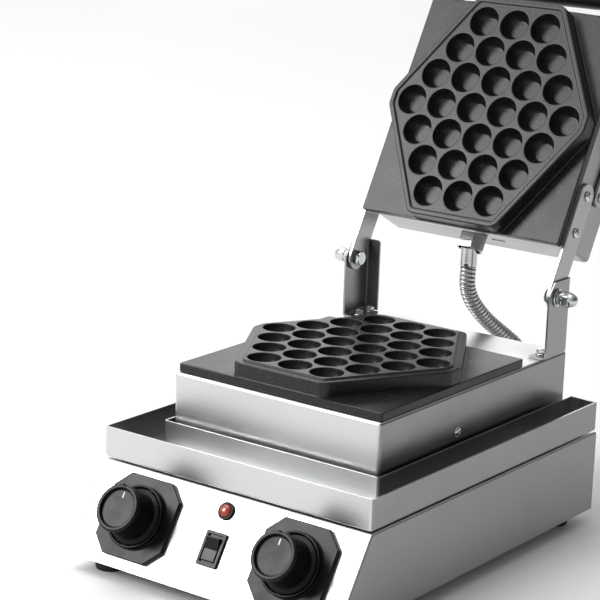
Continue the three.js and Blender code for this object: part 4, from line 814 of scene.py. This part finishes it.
dome = np.radians(np.linspace(0, 90, 10))
CAP = [(6.9, 0), (7.2, 0.3), (7.5, 0.9), (7.5, 5.2), (7.1, 5.8), (6.6, 6)]
CAP += [(6.35 * math.cos(q), 6.35 + 6.6 * math.sin(q)) for q in dome]
BOLT_AT, WASHER_AT, NUT_AT, CAP_AT = 104.7, 115.9, 117.8, 123.6  # from the machine's middle
for name, side in SIDES:
    at = lambda rings, x: standing(sideways(rings, side, x, PIVOT_Y, PIVOT_Z))
    head = turned(nut_profile(7.5, 0, 5.3, 0.9), 72, flats=6.5)
    shank = turned([(0, 5), (4, 5), (4, 26), (3.4, 26.5), (0, 26.5)], 40)
    bolt = joined(skinned(at(head, BOLT_AT)), skinned(at(shank, BOLT_AT)))
    washer = turned([(4.3, 0), (8.2, 0), (8.5, 0.3), (8.5, 1.3), (8.2, 1.6), (4.3, 1.6)], 64)
    washer = skinned(at(washer, WASHER_AT), caps="none", wrap=True)
    nut = skinned(at(turned(nut_profile(7.5, 0, 5.5, 0.8), 72, flats=6.5), NUT_AT))
    cap = skinned(at(turned(CAP, 72, flats=6.5), CAP_AT))
    made = {"pivot_bolt_": bolt, "pivot_washer_": washer, "pivot_nut_": nut, "cap_nut_": cap}
    for part, skin in made.items():
        form = "pressed" if skin is washer else "turned"
        piece(part + name, form, skin, "base", zinc_bright)


# Pan-head screws: cold-formed, with a cross recess, zinc-plated. One sits low on each side of the
# housing, and the same screws hold the arms, the handle's side bars and the grip.
def screw_skin():
    """A pan head, 4.8 mm in radius, whose top is a shallow sphere cut by a tapering cross."""
    dome_z = lambda r: 2.6 - (10 - np.sqrt(100 - r * r))
    radii = np.array([3.9, 3.4, 3.0])
    profile = [(2.4, -4), (2.4, 0), (4.6, 0), (4.8, 0.2), (4.8, 0.9), (4.65, 1.3), (4.35, 1.55)]
    head = turned(profile + [(r, dome_z(r)) for r in radii], 48)
    a, b = 0.55, 2.3
    quarter = np.array([(b, -a), (b, a), (a, a)])
    turns = [[[1, 0], [0, 1]], [[0, 1], [-1, 0]], [[-1, 0], [0, -1]], [[0, -1], [1, 0]]]
    cross = np.vstack([quarter @ np.array(turn) for turn in turns])
    off_cross = lambda p: (np.abs(p).min(1) >= a) | (np.abs(p).max(1) >= b)
    points, faces = filled(head[-1, :, :2], [cross], off_cross)
    lifted = lambda p: points_of(*p.T, dome_z(np.hypot(*p.T)))
    rings = np.stack([lifted(cross), points_of(*cross.T * 0.62, 0.9)])
    recess = skinned(rings, caps="last")
    return joined(skinned(head, caps="first"), (lifted(points), faces.tolist()), recess)


screw_points, screw_faces = screw_skin()


def pan_screw(name, side, from_middle, along, height, body, spin, placing):
    """One screw on a side face, its cross turned by spin degrees as the driver left it."""
    x, y, out = xyz(screw_points)
    spun = points_of(*rotated(x, y, math.radians(spin)), out)
    skin = placing(sideways(spun, side, from_middle, along, height)), screw_faces
    piece(name, "head", skin, body, zinc_bright)


for (name, side), spin in zip(SIDES, (20, 52)):
    pan_screw("housing_screw_" + name, side, 111.6, 2.5, 129.5, "base", spin, standing)


# Lid frame: a stainless plate with a large opening, clamped between the upper plate and the cover.
# Its cut edge shows as the bright line behind the black plate.
FRAME_LOW, FRAME_TOP = 211, 213.4
rings = stacked(SLAB_BOX, 2.5, edged(FRAME_LOW, FRAME_TOP, 0.4))
opening = stacked(box(-98, 98, -98, 98), 1, [(0, FRAME_TOP), (0, FRAME_LOW)])
skin = skinned(opened(np.vstack([rings, opening])), caps="none", wrap=True)
lid_frame = piece("lid_frame", "sheet", skin, "lid", steel_across)
# Its faces that look left and right take the darker steel: painted shade.
side_walls(lid_frame, plate_steel_painted_shade)


# Lid cover: a stainless box folded over the upper heater, open towards the plate.
# Its rear wall has a shallow slot with a lip beside the conduit's gland.
lid_steel = brushed_steel("stainless_brushed_lid", ACROSS, "#b9babb", "#adaeaf")
COVER_REAR, COVER_LOW, COVER_TOP, COVER_IN = 109, 213.7, 272.1, 270.6
COVER_BOX = box(-109.6, 109.6, -113, COVER_REAR)
outside = edged(COVER_LOW, COVER_TOP, 4, 7)[7:]
inside = edged(COVER_LOW, COVER_IN, 2.5, 7)[7:] + (1.5, 0)
outer = stacked(COVER_BOX, 4.5, [(0, COVER_LOW), *outside])
inner = stacked(COVER_BOX, 4.5, [(1.5, COVER_LOW), *inside])
skin = joined(
    skinned(opened(outer), caps="last"),
    skinned(opened(inner), caps="last"),
    skinned(opened(np.stack([outer[0], inner[0]])), caps="none"),
)
cover = piece("lid_cover", "sheet", skin, "lid", lid_steel)
# Its faces that look left and right take the darker steel: painted shade.
side_walls(cover, plate_steel_painted_shade)
slot_dark = moulded("shadow_inside_slot", "#0b0b0b", "#060606", gloss=(0.8, 0.9))


def on_rear_wall(points):
    """Drawn with x to the right, y away from the plate and z out of the cover's rear wall."""
    x, y, out = xyz(points)
    return opened(points_of(x, COVER_REAR + out, LID_FACE + y))


slot = stacked(box(16.5, 29.5, 58.5, 61.5), 1.4, [(0, -0.3), (0, 0.05)])
piece("rear_slot", "recess", skinned(on_rear_wall(slot)), "lid", slot_dark, ())
lip = stacked(box(15.7, 30.3, 57.2, 58.6), 0.6, edged(-0.2, 0.9, 0.4))
piece("rear_slot", "lip", skinned(on_rear_wall(lip)), "lid", steel_across, ())


# Lid arms: two flat stainless bars with round ends, 3 mm thick, that swing on the pivots.
# Each is held to the lid by two pan screws.
def bar_outline(a, b, half, steps=14):
    """A flat bar between two places: a half circle of the half width round each end."""
    a, b = np.array(a, float), np.array(b, float)
    lean = math.atan2(*(b - a)[::-1])
    fan = np.linspace(-math.pi / 2, math.pi / 2, steps)
    ends = [(b, fan + lean), (a, fan + lean + math.pi)]
    return np.vstack([c + half * np.column_stack([np.cos(q), np.sin(q)]) for c, q in ends])


DRAWN = (1 / 0.0009, 1 / 0.0009, 1 / 0.03)  # strokes along the bar as it stands open
bar_steel = brushed_steel("stainless_flat_bar", DRAWN, "#b6b7b8", "#a6a7a8", (0.28, 0.38))
BAR_IN, BAR_OUT, HEAD_X = 110.3, 113.3, 113.6  # the bars' faces and the seat of their screws


def lid_bars(part, height, start, end, half, screws):
    """The left and the right bar and their screws: the bar's outline at each level between its two
    faces, less by the rounded edge, and each screw's name, place along the bar and turn."""
    levels = edged(BAR_IN, BAR_OUT, 0.45, 4)
    for name, side in SIDES:
        outlines = [bar_outline((start, height), (end, height), half - d) for d, x in levels]
        rings = [points_of(side * x, *out.T) for (d, x), out in zip(levels, outlines)]
        skin = skinned(opened(rings))
        piece(part + name, "bar", skin, "lid", bar_steel)
        for screw, y, spin in screws:
            pan_screw(screw + name, side, HEAD_X, y, height, "lid", spin, opened)


ARM_END = 58
arm_screws = ("arm_front_screw_", ARM_END, 33), ("arm_rear_screw_", 94.5, 71)
lid_bars("lid_arm_", PIVOT_Z, PIVOT_Y, ARM_END, 12, arm_screws)


# Handle: two side bars, each held by a pan screw at both ends, with a turned grip between them.
# The grip is black thermoset, waisted at both ends.
grip_profile = [
    (0, 0), (11.2, 0), (12, 0.8), (12.1, 5), (12.3, 9), (13, 12.5), (13.9, 15.6), (14.4, 18),
    (14.5, 20.5),
]
half_grip = np.array(grip_profile) + (0, -110)
BAR_START, GRIP_Y, BAR_LEVEL = 50, -152, 248.1
y, z, x = xyz(turned(np.vstack([half_grip, (half_grip * (1, -1))[::-1]]), 64))
grip = skinned(opened(points_of(x, y + GRIP_Y, z + BAR_LEVEL)))
piece("handle_grip", "turned", grip, "lid", thermoset)
bar_screws = ("bar_screw_", BAR_START, 15), ("grip_screw_", GRIP_Y, 58)
lid_bars("handle_bar_", BAR_LEVEL, BAR_START, GRIP_Y, 9.5, bar_screws)


# Conduit: interlocked galvanised strip, wound to a flexible pipe that guards the lid's cable.
# A hexagon gland nut holds its plain ferrule in the lid's rear wall, leaning 28 degrees.
PORT_LEVEL = 238.1  # the gland's height when the lid is shut
y, x, out = xyz(turned(GLAND_NUT, 72, flats=NUT_FLATS))
skin = skinned(opened(points_of(x, COVER_REAR + out, PORT_LEVEL - y)), caps="first")
piece("lid_gland_nut", "turned", skin, "lid", nickel)
LEAN, LENGTH, SEAT = math.radians(28), 19, 3.4  # the ferrule's, and how deep it sits in the nut
NUT_FACE = 125.5
FERRULE = [
    (7.4, 0), (7.6, 0), (8, 0.4), (8, 13.6), (8.2, 14), (8.2, 18.3), (7.9, 18.9), (7.3, 19),
    (6.6, 18.9), (6.5, 17),
]
x, y, out = xyz(turned(FERRULE, 56))
y, z = rotated(out - SEAT, y, LEAN)
skin = skinned(opened(points_of(x, NUT_FACE + y, PORT_LEVEL + z)))
piece("conduit_ferrule", "turned", skin, "lid", nickel)

y, z = rotated(LENGTH - SEAT, 0, LEAN)
mouth = opened([0, NUT_FACE + y, PORT_LEVEL + z]) * 1000 - (0, ROW_SHIFT, 0)  # back to mm
away = np.array([0, *rotated(1, 0, LEAN - SWING)])
CONDUIT = np.array([
    mouth + away * 0.1, mouth + away * 8.2, mouth + away * 16.1,
    (0.5, 188, 204), (2.2, 192.5, 194), (4.8, 200, 184), (8, 209, 174), (13, 219.5, 164),
    (19, 229, 155), (25, 237, 146.5), (30.5, 243.7, 136), (34, 248, 124),
    (35, 249.33, 96.6), (35, 249.33, 88.7), (35, 249.33, 80.8),
])


def smooth_path(points, steps=40):
    """A centripetal Catmull-Rom curve: each stretch blends its four nearest points in three rounds
    of neighbours, with knots apart by the square root of their distance."""
    first, last = 2 * points[0] - points[1], 2 * points[-1] - points[-2]
    p = np.vstack([first, points, last])
    gaps = np.sqrt(np.linalg.norm(np.diff(p, axis=0), axis=1))
    k = np.concatenate([[0], np.cumsum(gaps)])
    n = len(points) - 1
    near = [p[i : i + n][:, None] for i in range(4)]
    k = [k[i : i + n][:, None, None] for i in range(4)]
    t = k[1] + (k[2] - k[1]) * np.linspace(0, 1, steps, endpoint=False)[None, :, None]
    for pairs in (((0, 1), (1, 2), (2, 3)), ((0, 2), (1, 3)), ((1, 2),)):
        near = [
            (k[b] - t) / (k[b] - k[a]) * near[i] + (t - k[a]) / (k[b] - k[a]) * near[i + 1]
            for i, (a, b) in enumerate(pairs)
        ]
    return np.vstack([near[0].reshape(-1, 3), points[-1:]])


RIB_PITCH, RIB_STEPS = 4.1, 10
rough = smooth_path(CONDUIT)
run = np.concatenate([[0], np.cumsum(np.linalg.norm(np.diff(rough, axis=0), axis=1))])
count = int(run[-1] / RIB_PITCH) * RIB_STEPS
spots = np.linspace(0, run[-1], count + 1)
line = np.column_stack([np.interp(spots, run, rough[:, i]) for i in range(3)])
angle = np.arange(36) * 2 * math.pi / 36
phase = (spots[:, None] / RIB_PITCH + angle[None] / (2 * math.pi)) % 1  # one turn a pitch
seam = np.exp(-(((phase - 0.5) / 0.11) ** 2))
radius = 7.9 - 0.35 * (1 - np.abs(2 * phase - 1)) ** 2 - 0.8 * seam
radius[[0, -1]] = 6.2


def strip_steel(name):
    """Galvanised strip with rolled edges: bright crowns, and the seams between the turns coloured
    darker.
    """
    made, tree, spot = begun(name)
    groove = add(tree, "ShaderNodeAttribute", out="Fac", attribute_name="groove")
    haze = add(tree, "ShaderNodeTexNoise", {"Vector": spot, "Scale": 1 / 0.003, "Detail": 3})
    metal = {0: haze, 6: colour("#b9bbbc"), 7: colour("#d6d7d8")}
    metal = add(tree, "ShaderNodeMix", metal, data_type="RGBA")
    gloss = [(haze, 0.3, 0.7, 0.24, 0.36)]
    return dressed(made, groove, (metal, "#2c2b29"), gloss, sockets={"Metallic": 1})


skin = skinned(standing(piped(line, radius, 36)))
strip = strip_steel("galvanised_strip_wound")
hose = piece(
    "conduit_hose", "strip", skin, None, strip,
    sharp=70, level=False, marks=("groove", seam),
)
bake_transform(hose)


# Studio: a plain pale floor, a large soft light high at the front left, a weaker one behind,
# and a pale room that is darker to the right, which the steel mirrors.
def floor_paint(name):
    """Rolled matt paint, with a cloudiness half a metre across that only just shows."""
    made, tree, spot = begun(name)
    haze = add(tree, "ShaderNodeTexNoise", {"Vector": spot, "Scale": 2, "Detail": 2})
    return dressed(made, haze, ("#ebebeb", "#efefef"), sockets={"Roughness": 0.9})


floor_mesh = bpy.data.meshes.new("floor")
corners = [(x, y, 0) for x, y in box(-40, 40, -40, 40)]
floor_mesh.from_pydata(corners, [], [(0, 1, 2, 3)])
floor = bpy.data.objects.new("floor", floor_mesh)
floor_mesh.materials.append(floor_paint("floor_paint_pale"))
bpy.context.scene.collection.objects.link(floor)


def softbox(name, place, aim, size, power):
    """A square area light that faces a point, both in metres."""
    lamp = bpy.data.objects.new(name, bpy.data.lights.new(name, "AREA"))
    lamp.data.shape, lamp.data.size, lamp.data.energy = "SQUARE", size, power
    lamp.location, lamp.visible_camera = place, False
    lamp.rotation_euler = (Vector(aim) - Vector(place)).to_track_quat("-Z", "Y").to_euler()
    bpy.context.scene.collection.objects.link(lamp)


softbox("key_softbox", (-4.3, -4.75, 4.0), (0, 0.1, 0.3), 2.5, 260)
softbox("back_softbox", (-3.45, 4.8, 1.7), (0, 0.1, 0.2), 2.6, 22)
softbox("overhead_softbox", (-1.8, -0.6, 5.7), (0, 0, 0), 4.6, 190)

world = bpy.data.worlds.new("studio_room")
bpy.context.scene.world = world
world.use_nodes = True
tree = world.node_tree
left = {0: add(tree, "ShaderNodeTexCoord", out="Generated"), 1: (-0.85, -0.25, 0.2)}
left = add(tree, "ShaderNodeVectorMath", left, out="Value", operation="DOT_PRODUCT")
shade = {0: left, 1: -0.7, 2: 0.6, 3: 0.12, 4: 0.85}
add(tree, "ShaderNodeMapRange", shade, tree.nodes["Background"].inputs["Strength"])
tree.nodes["Background"].inputs["Color"].default_value = colour("#ffffff")
bpy.context.scene.view_settings.view_transform = "Standard"
